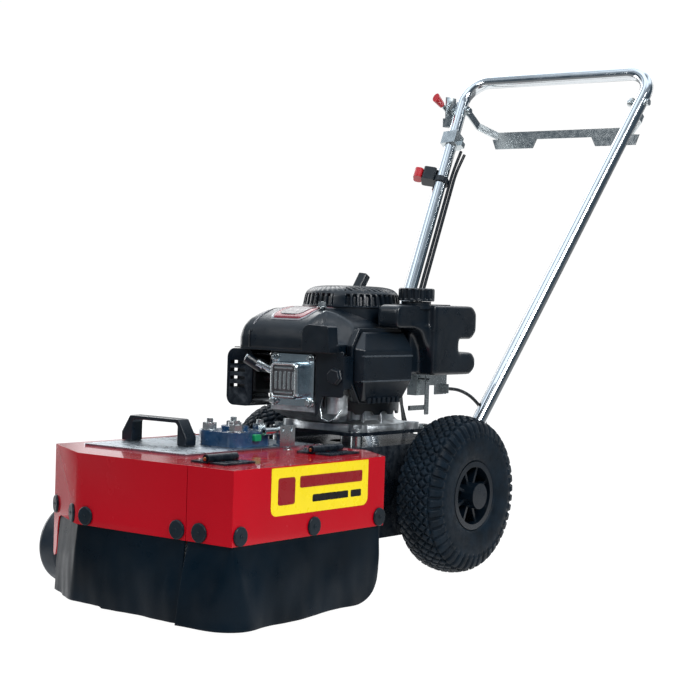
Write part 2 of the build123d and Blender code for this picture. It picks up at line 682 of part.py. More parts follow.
def flywheel_fan():
    """Flywheel with fan blades, under the cowl."""
    disc = turned([(CRANKSHAFT_R, 366), (66, 366), (66, 384), (30, 384), (30, 396), (CRANKSHAFT_R, 396)], CRANK)
    for index in range(16):
        blade = Rot(0, 0, 22.5 * index) * Pos(52, 0, 393) * Box(28, 2.5, 20)
        disc += Pos(*CRANK, 0) * blade
    return disc


def engine_cowl():
    """Black top shroud, open below and under the starter dome, with a plate down the cylinder's side."""
    outer = [(-122, -193), (-100, -225), (70, -225), (88, -207), (88, 25), (68, 45), (-92, 45), (-122, 15)]
    body = prism(outer, COWL_Z0, COWL_Z1)
    body = fillet(body.faces().sort_by(Axis.Z)[-1].edges(), 20)
    inner = prism(ribbon(outer + outer[:1], 3)[len(outer) + 1:][:-1], COWL_Z0 - 1, COWL_Z1 - 3)
    inner = chamfer(inner.faces().sort_by(Axis.Z)[-1].edges(), 16)
    body -= inner
    body -= rod((*CRANK, COWL_Z1 - 10), (*CRANK, COWL_Z1 + 1), 76)
    body -= rod((*COWL_BOLT, COWL_Z1 - 10), (*COWL_BOLT, COWL_Z1 + 1), 3.0)
    side = box(48, 50.3, -204, -124, 276, COWL_Z0 + 1) + box(48, 86, -204, -124, COWL_Z0 - 1, COWL_Z0 + 1)
    return body + side - rod((47, -176, 322), (53, -176, 322), 14.5)


def recoil_dome():
    """Slotted cover of the recoil starter."""
    z0, z1 = COWL_Z1, DOME_TOP
    outer = [(0, z1), (40, z1 - 1), (66, z1 - 4), (76, z1 - 9), (DOME_R, z1 - 18), (DOME_R, z0)]
    inner = [(DOME_R - 3.5, z0), (DOME_R - 3.5, z1 - 18), (73, z1 - 12), (64, z1 - 8), (40, z1 - 5), (0, z1 - 4)]
    dome = turned(outer + inner, CRANK)
    for index in range(30):
        slot = Rot(0, 0, 12 * index) * Pos(DOME_R, 0, (z0 + z1 - 14) / 2) * Box(20, 7, z1 - z0 - 24)
        dome -= Pos(*CRANK, 0) * slot
    return dome


STARTER_BASE = (-66.0, 24.0, 434.8)
STARTER_AXIS = (0.10, 0.50, 0.86)


def starter_grip():
    """Pull grip of the recoil starter, leaning back out of the dome's rim."""
    plane = Plane(origin=STARTER_BASE, x_dir=(1, 0, 0), z_dir=STARTER_AXIS)
    body = extrude(plane * RectangleRounded(18, 15, 3), 61)
    pocket = extrude(plane.offset(46) * RectangleRounded(13, 10, 2), 16)
    return body - pocket


def muffler():
    body = box(-146, -104, -182, -96, 282, 346)
    body = fillet(body.edges(), 8)
    pipe = rod((-106, -150, 310), (-48, -150, 310), 9)
    outlet = hollow_rod((-152, -120, 300), (-132, -120, 300), 11, 9)
    return body + pipe - rod((-152, -120, 300), (-135, -120, 300), 9) + outlet


def muffler_guard():
    """Slotted black guard round the muffler."""
    outer = box(-156, -98, -192, -86, 262, 357)
    outer = fillet(outer.edges().filter_by(Axis.Y), 16)
    inner = box(-153.5, -97, -189.5, -85, 264.5, 354.5)
    inner = fillet(inner.edges().filter_by(Axis.Y), 14)
    guard = outer - inner - box(-100, -90, -200, -80, 250, 360)
    for index in range(4):
        z = 292 + index * 13
        guard -= box(-149, -116, -195, -187, z, z + 6)
        guard -= box(-158, -150, -176, -128, z, z + 6)
    guard -= rod((-160, -120, 300), (-150, -120, 300), 11.5)
    return guard


def spark_plug_boot():
    """Plug and its elbow boot, beside the cylinder head."""
    plug = rod(PLUG_SEAT, PLUG_END, PLUG_R)
    boot = rod(PLUG_END, (-84, -226, 344), 9)
    return plug + boot + Sphere(9).moved(Location(PLUG_END))


def air_filter_base():
    """Back plate of the air filter, with the panel that covers the carburettor's front."""
    outline = [(-188, 312), (-188, 372), (-170, 399), (-57, 399), (-46, 378), (-46, 300), (-56, 277), (-166, 277)]
    base = side_prism(outline, 90, 104)
    base += box(46.5, 104, -209, -206, 288, 356) + box(101, 104, -209, -187, 300, 356)
    return base - rod((89, -172, 322), (106, -172, 322), 9)


def air_filter_cover():
    """Faceted cover with a row of slots in its lower edge."""
    outline = [(-184, 312), (-184, 366), (-166, 393), (-61, 393), (-47, 366), (-47, 312), (-61, 282), (-166, 282)]
    lid = side_prism(outline, 104, 124)
    lid = chamfer(lid.faces().sort_by(Axis.X)[-1].edges(), 5)
    lid -= side_prism([(y * 0.96 - 4.6, z * 0.96 + 13.5) for y, z in outline], 103, 120)
    for index in range(6):
        lid -= box(108, 121, -162 + index * 16, -154 + index * 16, 278, 288)
    return lid


def carburettor():
    """Carburettor between the cylinder and the filter, with its float bowl below."""
    body = box(54, 84, -192, -160, 288, 342)
    bowl = turned([(0, 257), (13, 257), (17, 261), (17, 290), (0, 290)], (70, -179))
    drain = rod((70, -179, 252), (70, -179, 258), 4)
    inlet = rod((47.5, -176, 322), (55, -176, 322), 14)
    outlet = hollow_rod((83, -172, 322), (90, -172, 322), 12, 9)
    return body + bowl + drain + inlet + outlet


FUEL_CAP = (113.0, -30.0)


def fuel_tank():
    """Moulded tank with a notch in its rear edge and a set-back front with an arm."""
    main = [(-20, 323), (92, 323), (104, 334), (104, 349), (94, 359), (56, 359), (56, 384), (92, 384), (106, 396),
            (106, 428), (94, 438), (-20, 438)]
    body = side_prism(main, 90, 145) + box(90, 118, -44, -19, 323, 438)
    body += box(90, 131, -108, -19, 403, 437)
    body += rod((*FUEL_CAP, 436), (*FUEL_CAP, 444), 24)
    return body


def fuel_cap():
    cap = rod((*FUEL_CAP, 444.5), (*FUEL_CAP, 466), 30)
    for index in range(24):
        angle = 2 * pi * index / 24
        x, y = FUEL_CAP[0] + 30.6 * cos(angle), FUEL_CAP[1] + 30.6 * sin(angle)
        cap -= rod((x, y, 444), (x, y, 467), 1.4)
    return chamfer(cap.faces().sort_by(Axis.Z)[-1].edges().filter_by(GeomType.CIRCLE), 1.0)


GOVERNOR_PIVOT = (104.0, 24.0, 312.0)


def control_bracket():
    """Zinc bracket under the tank that ends the throttle cable."""
    x, y, z = GOVERNOR_PIVOT
    back = box(90, 93, 6, 96, 286, 322.5)
    back -= box(88, 95, 34, 62, 280, 302)
    ear = box(92, 104, 84, 87, 288, 304)
    post = rod((91, y, z), (x + 4, y, z), 3)
    anchor = box(74, 92, 6, 16, 286, 322.5)
    return back + ear + post + anchor


def governor_arm():
    """Arm on the control bracket that the throttle cable turns."""
    x, y, z = GOVERNOR_PIVOT
    strip = box(x - 3, x - 0.5, y - 5, y + 5, z - 58, z + 8)
    link = box(x - 7, x - 3, y - 46, y + 2, z - 50, z - 42)
    return strip + link - rod((x - 10, y, z), (x + 10, y, z), 3 + FIT)


# ---------------------------------------------------------------- handle
def leg_y(z):
    """Y of the handle leg's centre line at a height."""
    return HANDLE_TOP[1] - (HANDLE_TOP[2] - z) * LEG_SLOPE


def leg_x(z):
    return FOOT_X + (HANDLE_TOP[0] - FOOT_X) * (z - LEG_BEND_Z) / (HANDLE_TOP[2] - LEG_BEND_Z)


def leg_bolt_places():
    return [(leg_y(z), z) for z in (155.0, 190.0)]


def handle_tube():
    """Bent U-tube whose feet run down the frame's sides."""
    points = [(-FOOT_X, leg_y(LEG_FOOT_Z), LEG_FOOT_Z), (-FOOT_X, leg_y(LEG_BEND_Z), LEG_BEND_Z),
              (-HANDLE_TOP[0], HANDLE_TOP[1], HANDLE_TOP[2])]
    points += [(-x, y, z) for x, y, z in points[::-1]]
    path = FilletPolyline(*points, radius=48)
    start = Plane(origin=path @ 0, z_dir=path % 0)
    tube = sweep(start * Circle(TUBE_R), path=path) - sweep(start * Circle(TUBE_R - 2), path=path)
    for y, z in leg_bolt_places():
        tube -= rod((-FOOT_X - 20, y, z), (FOOT_X + 20, y, z), 4)
    px, py, pz = BAIL_PIVOT
    tube -= rod((-230, py, pz), (230, py, pz), 3)
    return tube


def handle_bolts():
    """Bolts through the legs' feet and the bail's two pivot bolts."""
    pieces = []
    px, py, pz = BAIL_PIVOT
    for sign in (-1, 1):
        outer = sign * (FOOT_X + TUBE_R + 0.2)
        for y, z in leg_bolt_places():
            head = extrude(Plane(origin=(outer, y, z), z_dir=(sign, 0, 0)) * RegularPolygon(7.5, 6), 5)
            shank = rod((outer, y, z), (sign * (FRAME_HALF - 12), y, z), 4)
            pieces.append(head + shank)
        start = sign * (px + 29)
        head = extrude(Plane(origin=(start, py, pz), z_dir=(sign, 0, 0)) * RegularPolygon(7, 6), 5)
        shank = rod((start, py, pz), (sign * (px - 10), py, pz), 3)
        nut = rod((sign * (px - 10), py, pz), (sign * (px - 4.5), py, pz), 6)
        pieces.append(head + shank + nut)
    return pieces


def dead_man_bail():
    """Bent zinc strip that swings up against the handle's cross bar, with two finger plates."""
    px, py, pz = BAIL_PIVOT
    bx, by, bz = BAIL_BAR
    bar = box(-bx + 20, bx - 20, by - 2, by + 2, bz - 8, bz + 8)
    shape = bar
    for sign in (-1, 1):
        arm_a = Vector(sign * (px - 2), py, pz)
        arm_b = Vector(sign * (px - 2), py + 42, pz - 27)
        arm_c = Vector(sign * (bx - 20), by, bz)
        for start, end, width in ((arm_a, arm_b, 16), (arm_b, arm_c, 16)):
            shape += strip_between(start, end, width, 3.0)
        shape += rod((sign * (px - 4), py, pz), (sign * px, py, pz), 10)
        plate = [(sign * 62, bz - 6), (sign * 168, bz - 6), (sign * 160, bz - 26), (sign * 72, bz - 26)]
        shape += front_prism(plate, by - 2, by + 1)
    return shape - rod((-px - 5, py, pz), (px + 5, py, pz), 3 + FIT)


def strip_between(start, end, width, thickness):
    """Flat strip of the bail between two points, its width roughly upright to its run."""
    run = end - start
    normal = Vector(1, 0, 0) - run * (run.X / (run.length * run.length))
    plane = Plane(origin=tuple(start), x_dir=tuple(normal), z_dir=tuple(run))
    return extrude(plane * Rectangle(thickness, width), run.length)


THROTTLE_PIVOT = (-231.0, 560.0, 824.0)


def throttle_bracket():
    """Zinc clip on the right-hand leg that carries the throttle lever, with the cable clamp below."""
    x, y, z = THROTTLE_PIVOT
    plate = box(x + 1, x + 4, y - 26, y + 8, z - 20, z + 36)
    plate += box(x + 1, -207.5, y - 34, y - 14, z - 26, z - 8)
    post = rod((x - 6, y, z), (x + 2, y, z), 3)
    plane = Plane(origin=(-leg_x(755), leg_y(755), 755), x_dir=(1, 0, 0), z_dir=leg_direction())
    sleeve = extrude(plane * Rectangle(32, 30), 30, both=False)
    sleeve -= extrude(plane.offset(-5) * Circle(TUBE_R), 40)
    lug = extrude(plane * Pos(20, 6) * Rectangle(10, 12), 12)
    return [(plate + post) - leg_rod(TUBE_R), sleeve + lug]


def leg_direction():
    """Unit vector up the right-hand leg."""
    dz = HANDLE_TOP[2] - LEG_BEND_Z
    return Vector(-(HANDLE_TOP[0] - FOOT_X), dz * LEG_SLOPE, dz).normalized()


def leg_rod(radius):
    low, high = 240.0, 850.0
    return rod((-leg_x(low), leg_y(low), low), (-leg_x(high), leg_y(high), high), radius)


def throttle_lever():
    x, y, z = THROTTLE_PIVOT
    arm = strip_between(Vector(x - 2, y, z), Vector(x - 2, y - 46, z + 26), 9, 2.5)
    eye = rod((x - 3.25, y, z), (x - 0.75, y, z), 8)
    return arm + eye - rod((x - 8, y, z), (x + 2, y, z), 3 + FIT)


def throttle_grip():
    """Red tapered grip on the lever's end."""
    x, y, z = THROTTLE_PIVOT
    start = Vector(x - 2, y - 34, z + 19.2)
    run = Vector(0, -46, 26).normalized()
    plane = Plane(origin=tuple(start), x_dir=(1, 0, 0), z_dir=tuple(run))
    body = loft([plane * Ellipse(5, 7), plane.offset(26) * Ellipse(7, 10)])
    hole = strip_between(Vector(x - 2, y, z), Vector(x - 2, y - 46, z + 26), 9, 2.5)
    return body - hole


SWITCH_Z = 676.0
KNOB_Z = 15.0          # knob's axis above the switch plane
KNOB_SPINDLE_R = 4.0


def switch_plane():
    """Frame of the stop switch on the right-hand leg: x out to the side, z up the leg."""
    origin = (-leg_x(SWITCH_Z), leg_y(SWITCH_Z), SWITCH_Z)
    return Plane(origin=origin, x_dir=(-1, -0.6, 0), z_dir=leg_direction())


def stop_switch():
    plane = switch_plane()
    body = extrude(plane * Pos(25, 0) * RectangleRounded(26, 26, 5), 30)
    strap = extrude(plane * Circle(TUBE_R + 3), 12)
    body += strap
    body -= extrude(plane.offset(-5) * Circle(TUBE_R), 50)
    return body - spindle_of_knob(27, 39, KNOB_SPINDLE_R + FIT)


def spindle_of_knob(x0, x1, radius):
    """Rod along the knob's turning axis, from x0 to x1 of the switch plane."""
    plane = switch_plane()
    ends = [plane.from_local_coords((x, 0, KNOB_Z)) for x in (x0, x1)]
    return rod(tuple(ends[0]), tuple(ends[1]), radius)


def stop_knob():
    plane = switch_plane()
    grip = extrude(plane.offset(KNOB_Z - 11) * Pos(47, 0) * RectangleRounded(17, 22, 6), 22)
    return grip + spindle_of_knob(29, 40, KNOB_SPINDLE_R)


def control_cables():
    """Throttle, bail and stop cables, clipped along the right-hand leg and round to the engine."""
    def beside(z, side, back):
        return (-leg_x(z) + side, leg_y(z) + back, z)

    engine_end = (98.0, 88.0, 296.0)
    throttle = [engine_end, (97, 128, 293), (98, 165, 281), (98, 205, 256), (90, 232, 215), (60, 238, 178),
                (10, 236, 165), (-40, 234, 172), (-84, 232, 205), beside(300, 13.6, 13.2), beside(700, 13.6, 13.2), beside(745, 22, 10)]
    bail = [beside(738, 29, 15), beside(700, 18.4, 18.0), beside(300, 18.4, 18.0), (-70, 204, 200), (-60, 172, 150)]
    pieces = []
    for points in (throttle, bail):
        path = FilletPolyline(*points, radius=cable_radii(points))
        pieces.append(sweep(Plane(origin=path @ 0, z_dir=path % 0) * Circle(3.0), path=path))
    return pieces


def cable_radii(points):
    """Arc radii at the inner points of a route, 0.45 of the shorter run over tan of half the turn."""
    radii = []
    for a, b, c in zip(points, points[1:], points[2:]):
        before, after = Vector(*b) - Vector(*a), Vector(*c) - Vector(*b)
        half_turn = radians(before.get_angle(after)) / 2
        reach = 0.45 * min(before.length, after.length)
        radii.append(min(400.0, reach * cos(half_turn) / sin(half_turn)))
    return radii


# ---------------------------------------------------------------- output
PARTS = {
    "frame_body": frame_body,
    "belt_cover": belt_cover,
    "axle": axle,
    "wheel_bushes": wheel_bushes,
    "engine_plate": engine_plate,
    "head_plate": head_plate,
    "head_bracket": head_bracket,
    "head_fasteners": head_fasteners,
    "hood_shell": hood_shell,
    "hinge_fixed_leaves": hinge_fixed_leaves,
    "grab_handle": grab_handle,
    "main_skirt": main_skirt,
    "skirt_buttons": lambda: [button(*place) for place in hood_buttons()],
    "side_flap": side_flap,
    "hinge_moving_leaves": hinge_moving_leaves,
    "flap_skirt": flap_skirt,
    "flap_buttons": lambda: [button(*place) for place in flap_buttons_places()],
    "spindle_bearings": lambda: [bearing_housing(HEAD_PLATE_Z, 1), bearing_housing(TONGUE_Z0 - BEARING_H, -1)],
    "spindle": spindle,
    "driven_pulley": driven_pulley,
    "brush_disc": brush_disc,
    "brush_tufts": brush_tufts,
    "support_wheel": support_wheel,
    "support_axle": support_axle,
    "drive_belt": drive_belt,
    "drive_pulley": drive_pulley,
    "tension_arm": tension_arm,
    "tension_idler": tension_idler,
    "left_tyre": tyre,
    "left_rim": rim,
    "right_tyre": lambda: mirror_x(tyre()),
    "right_rim": lambda: mirror_x(rim()),
    "crankcase": crankcase,
    "cylinder_block": cylinder_block,
    "valve_cover": valve_cover,
    "engine_fasteners": lambda: engine_plate_bolts() + engine_bolts(),
    "crankshaft": crankshaft,
    "flywheel_fan": flywheel_fan,
    "engine_cowl": engine_cowl,
    "recoil_dome": recoil_dome,
    "starter_grip": starter_grip,
    "muffler": muffler,
    "muffler_guard": muffler_guard,
    "spark_plug_boot": spark_plug_boot,
    "air_filter_base": air_filter_base,
    "air_filter_cover": air_filter_cover,
    "carburettor": carburettor,
    "fuel_tank": fuel_tank,
    "fuel_cap": fuel_cap,
    "control_bracket": control_bracket,
    "governor_arm": governor_arm,
    "handle_tube": handle_tube,
    "frame_bolts": lambda: handle_bolts() + [tension_pivot()],
    "dead_man_bail": dead_man_bail,
    "throttle_bracket": throttle_bracket,
    "throttle_lever": throttle_lever,
    "throttle_grip": throttle_grip,
    "stop_switch": stop_switch,
    "stop_knob": stop_knob,
    "control_cables": control_cables,
}


def write(name, made):
    shapes = made if isinstance(made, list) else [made]
    solids = [solid for shape in shapes for solid in shape.solids()]
    placed = [Pos(*ORIGIN_SHIFT) * solid for solid in solids]
    shape = placed[0] if len(placed) == 1 else Compound(children=placed)
    export_step(shape, f"parts/{name}.step")


os.makedirs("parts", exist_ok=True)
for part_name, make in PARTS.items():
    write(part_name, make())
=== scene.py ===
"""The brush mower in Blender: reads the shared frame, adds or replaces pieces, and sets the stage."""
import json
import math
import random

import bmesh
import bpy
from mathutils import Matrix, Vector, noise


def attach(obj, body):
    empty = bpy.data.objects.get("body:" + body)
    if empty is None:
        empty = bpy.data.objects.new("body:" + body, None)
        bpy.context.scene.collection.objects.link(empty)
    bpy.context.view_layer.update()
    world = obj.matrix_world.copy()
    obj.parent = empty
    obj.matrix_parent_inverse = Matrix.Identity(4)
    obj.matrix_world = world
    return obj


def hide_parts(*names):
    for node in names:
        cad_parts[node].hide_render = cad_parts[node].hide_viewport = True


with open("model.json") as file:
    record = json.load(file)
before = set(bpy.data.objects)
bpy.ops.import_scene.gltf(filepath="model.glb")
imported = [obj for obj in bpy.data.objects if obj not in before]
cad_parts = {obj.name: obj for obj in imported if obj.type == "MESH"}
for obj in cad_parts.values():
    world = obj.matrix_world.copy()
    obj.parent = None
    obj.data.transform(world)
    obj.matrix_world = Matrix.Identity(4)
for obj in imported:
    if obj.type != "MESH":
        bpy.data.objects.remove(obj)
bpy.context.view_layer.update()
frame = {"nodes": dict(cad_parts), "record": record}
NODES = frame["nodes"]
BODY_OF = {node: body for body, nodes in frame["record"]["behaviour"]["bodies"].items() for node in nodes}
SLOT_OF = {part["node"]: part["material_slot"] for part in frame["record"]["subparts"]}

# Machine coordinates are millimetres from the middle of the axle, on the ground.
SHIFT = Vector((-28.5, 28.8, 0.0))
AXLE_Z = 130
WHEEL_X = 184
CRANK_Y = -58
CRANK_FOOT = (0, CRANK_Y, 0)
FILLER_X, FILLER_Y = 113, -30
BRUSH_X, BRUSH_Y = 57, -410
SUPPORT_WHEEL = (-158, -523, 60)
UP = (0, 0, 1)


def P(x, y, z):
    """Point in machine millimetres to the frame's metres."""
    return (Vector((x, y, z)) + SHIFT) / 1000.0


# ---------------------------------------------------------------- camera, floor and light
AZIMUTH, PITCH, ROLL = math.radians(37.42), math.radians(1.73), math.radians(1.77)
EYE = (1717.4, -2292.2, 451.7)
AHEAD = (-math.sin(AZIMUTH), math.cos(AZIMUTH), 0.0)
ASIDE = (math.cos(AZIMUTH), math.sin(AZIMUTH), 0.0)
LENS = 86.2
SHIFT_X, SHIFT_Y = -0.006, -0.0064

BACKDROP = (2.0, 2.0, 2.0, 1)
ROOM = (0.06, 0.085, 0.11, 1)
CEILING = (1.35, 1.52, 1.70, 1)
PAPER_GLOW = 1.02
WINDOW_DARK, WINDOW_BRIGHT = 0.05, 0.85
WALL_FROM, WALL_FULL = 0.42, 0.78       # how far round from straight ahead the bright wall reaches
FLOOR_DIM, FLOOR_BRIGHT = 0.10, 1.0

# Name, place, target, width and depth, all in metres, and power in watts.
LIGHTS = (
    ("key", (2.6, -1.0, 2.4), (0, -0.2, 0.2), (1.4, 1.4), 105),
    ("left", (-3.0, -0.25, 0.6), (0, -0.5, 0.2), (1.8, 1.6), 28),
    ("rim", (-2.6, 1.6, 2.2), (0, 0, 0.4), (1.6, 2.4), 30),
    ("front", (-1.2, -3.2, 2.3), (0, -0.4, 0.3), (1.0, 1.0), 38),
)


def make_camera():
    forward = Vector((AHEAD[0] * math.cos(PITCH), AHEAD[1] * math.cos(PITCH), -math.sin(PITCH)))
    right = Vector(ASIDE)
    up = right.cross(forward)
    right_r = right * math.cos(ROLL) + up * math.sin(ROLL)
    up_r = up * math.cos(ROLL) - right * math.sin(ROLL)
    data = bpy.data.cameras.new("camera")
    data.lens, data.sensor_width = LENS, 36.0
    data.shift_x, data.shift_y = SHIFT_X, SHIFT_Y
    camera = bpy.data.objects.new("camera", data)
    bpy.context.scene.collection.objects.link(camera)
    rotation = Matrix((right_r, up_r, -forward)).transposed().to_4x4()
    camera.matrix_world = Matrix.Translation(P(*EYE)) @ rotation
    bpy.context.scene.camera = camera


def area_light(name, place, target, size, power):
    data = bpy.data.lights.new(name, "AREA")
    data.shape = "RECTANGLE"
    data.size, data.size_y = size
    data.energy = power
    light = bpy.data.objects.new(name, data)
    bpy.context.scene.collection.objects.link(light)
    light.location = place
    light.rotation_euler = (Vector(target) - Vector(place)).to_track_quat("-Z", "Y").to_euler()


def socket_set(shader, values):
    for name, value in values.items():
        shader.inputs[name].default_value = value


def mapped(tree, source, low, high, to_low, to_high, kind="SMOOTHSTEP"):
    """Value of a socket carried from one range to another, smoothly unless the kind says otherwise."""
    node = tree.nodes.new("ShaderNodeMapRange")
    node.interpolation_type = kind
    socket_set(node, {"From Min": low, "From Max": high, "To Min": to_low, "To Max": to_high})
    tree.links.new(source, node.inputs["Value"])
    return node.outputs["Result"]


def along(tree, source, direction):
    """Dot product of a vector socket with a direction."""
    node = tree.nodes.new("ShaderNodeVectorMath")
    node.operation = "DOT_PRODUCT"
    node.inputs[1].default_value = direction
    tree.links.new(source, node.inputs[0])
    return node.outputs["Value"]


def calculated(tree, operation, first, second=None):
    """Arithmetic on one or two sockets."""
    node = tree.nodes.new("ShaderNodeMath")
    node.operation = operation
    tree.links.new(first, node.inputs[0])
    if second is not None:
        tree.links.new(second, node.inputs[1])
    return node.outputs[0]


def clouded(tree, source, scale, detail):
    """Soft noise over a vector socket."""
    node = tree.nodes.new("ShaderNodeTexNoise")
    socket_set(node, {"Scale": scale, "Detail": detail})
    tree.links.new(source, node.inputs["Vector"])
    return node.outputs["Fac"]


def blended(tree, factor, first, second):
    """Mix of two colours, each a value or a socket."""
    mix = tree.nodes.new("ShaderNodeMix")
    mix.data_type = "RGBA"
    tree.links.new(factor, mix.inputs[0])
    for socket, colour in ((mix.inputs[6], first), (mix.inputs[7], second)):
        if isinstance(colour, tuple):
            socket.default_value = colour
        else:
            tree.links.new(colour, socket)
    return mix.outputs[2]


def make_world():
    """Bright wall behind the machine, a dim room behind the camera and soft lamps on the ceiling."""
    world = bpy.data.worlds.new("studio")
    bpy.context.scene.world = world
    world.use_nodes = True
    tree = world.node_tree
    direction = tree.nodes.new("ShaderNodeTexCoord").outputs["Generated"]
    split = tree.nodes.new("ShaderNodeSeparateXYZ")
    tree.links.new(direction, split.inputs[0])
    around = mapped(tree, along(tree, direction, AHEAD), WALL_FROM, WALL_FULL, 0.0, 1.0)
    overhead = mapped(tree, split.outputs["Z"], 0.40, 0.80, 0.0, 1.0)
    lamps = mapped(tree, clouded(tree, direction, 2.2, 1.0), 0.40, 0.56, 0.15, 1.0)
    walls = blended(tree, around, ROOM, BACKDROP)
    whole = blended(tree, calculated(tree, "MULTIPLY", overhead, lamps), walls, CEILING)
    tree.links.new(whole, tree.nodes["Background"].inputs["Color"])
    tree.nodes["Background"].inputs["Strength"].default_value = 1.0


def glowing(name, ground, light):
    """Matt material that gives light, with its tree and its shader."""
    made = bpy.data.materials.new(name)
    made.use_nodes = True
    shader = made.node_tree.nodes["Principled BSDF"]
    socket_set(shader, {"Base Color": ground, "Specular IOR Level": 0.0, "Emission Color": light})
    return made, made.node_tree, shader


def floor_glow():
    """Sweep of white paper: it glows where the camera sees it and is dim in front of that."""
    made, tree, shader = glowing("floor_pale", (0.10, 0.10, 0.10, 1), (1, 1, 1, 1))
    shader.inputs["Roughness"].default_value = 0.8
    from_eye = tree.nodes.new("ShaderNodeVectorMath")
    from_eye.operation = "SUBTRACT"
    from_eye.inputs[1].default_value = P(*EYE)
    tree.links.new(tree.nodes.new("ShaderNodeTexCoord").outputs["Object"], from_eye.inputs[0])
    depth = along(tree, from_eye.outputs[0], AHEAD)
    across = calculated(tree, "ABSOLUTE", along(tree, from_eye.outputs[0], ASIDE))
    inside = mapped(tree, calculated(tree, "DIVIDE", across, depth), 0.24, 0.34, 1.0, 0.0)
    reached = mapped(tree, depth, 1.3, 1.75, 0.0, 1.0)
    glow = mapped(tree, calculated(tree, "MULTIPLY", inside, reached), 0.0, 1.0, FLOOR_DIM, FLOOR_BRIGHT)
    tree.links.new(glow, shader.inputs["Emission Strength"])
    return made


def window_wall():
    """Tall windows and dark piers behind the machine, seen only as reflections in it."""
    made, tree, shader = glowing("window_wall", (0, 0, 0, 1), (0.95, 0.98, 1.0, 1))
    stretch = tree.nodes.new("ShaderNodeMapping")
    stretch.inputs["Scale"].default_value = (1.0, 0.02, 1.0)
    tree.links.new(tree.nodes.new("ShaderNodeTexCoord").outputs["Object"], stretch.inputs["Vector"])
    bands = clouded(tree, stretch.outputs["Vector"], 2.6, 2.0)
    glow = mapped(tree, bands, 0.42, 0.60, WINDOW_DARK, WINDOW_BRIGHT)
    tree.links.new(glow, shader.inputs["Emission Strength"])
    wall = standing_card("window_wall", made, distance=3.2, half_width=3.0, half_height=1.0, middle_height=0.75)
    wall.visible_camera = False


def backdrop_paper():
    """Paper far behind the machine that only the camera sees: it hides the brighter world from it."""
    made, _, shader = glowing("backdrop_paper", (0, 0, 0, 1), (1, 1, 1, 1))
    shader.inputs["Emission Strength"].default_value = PAPER_GLOW
    paper = standing_card("backdrop_paper", made, distance=9, half_width=14, half_height=8, middle_height=4)
    paper.visible_glossy = False
    paper.visible_diffuse = False
    paper.visible_transmission = False


def standing_card(name, made, distance, half_width, half_height, middle_height):
    """Upright stage card behind the machine, square to the camera's view."""
    mesh = bpy.data.meshes.new(name)
    signs = ((-1, -1), (1, -1), (1, 1), (-1, 1))
    mesh.from_pydata([(half_width * a, half_height * b, 0) for a, b in signs], [], [(0, 1, 2, 3)])
    mesh.materials.append(made)
    card = bpy.data.objects.new(name, mesh)
    bpy.context.scene.collection.objects.link(card)
    ahead, aside, up = Vector(AHEAD), Vector(ASIDE), Vector(UP)
    turn = Matrix((aside, up, aside.cross(up))).transposed().to_4x4()
    card.matrix_world = Matrix.Translation(ahead * distance + up * middle_height) @ turn
    card.visible_shadow = False
    return card


def make_stage():
    make_world()
    window_wall()
    backdrop_paper()
    bpy.ops.mesh.primitive_plane_add(size=40)
    floor = bpy.context.object
    floor.name = "floor"
    floor.data.materials.append(floor_glow())
    for light in LIGHTS:
        area_light(*light)
    bpy.context.scene.view_settings.view_transform = "Standard"


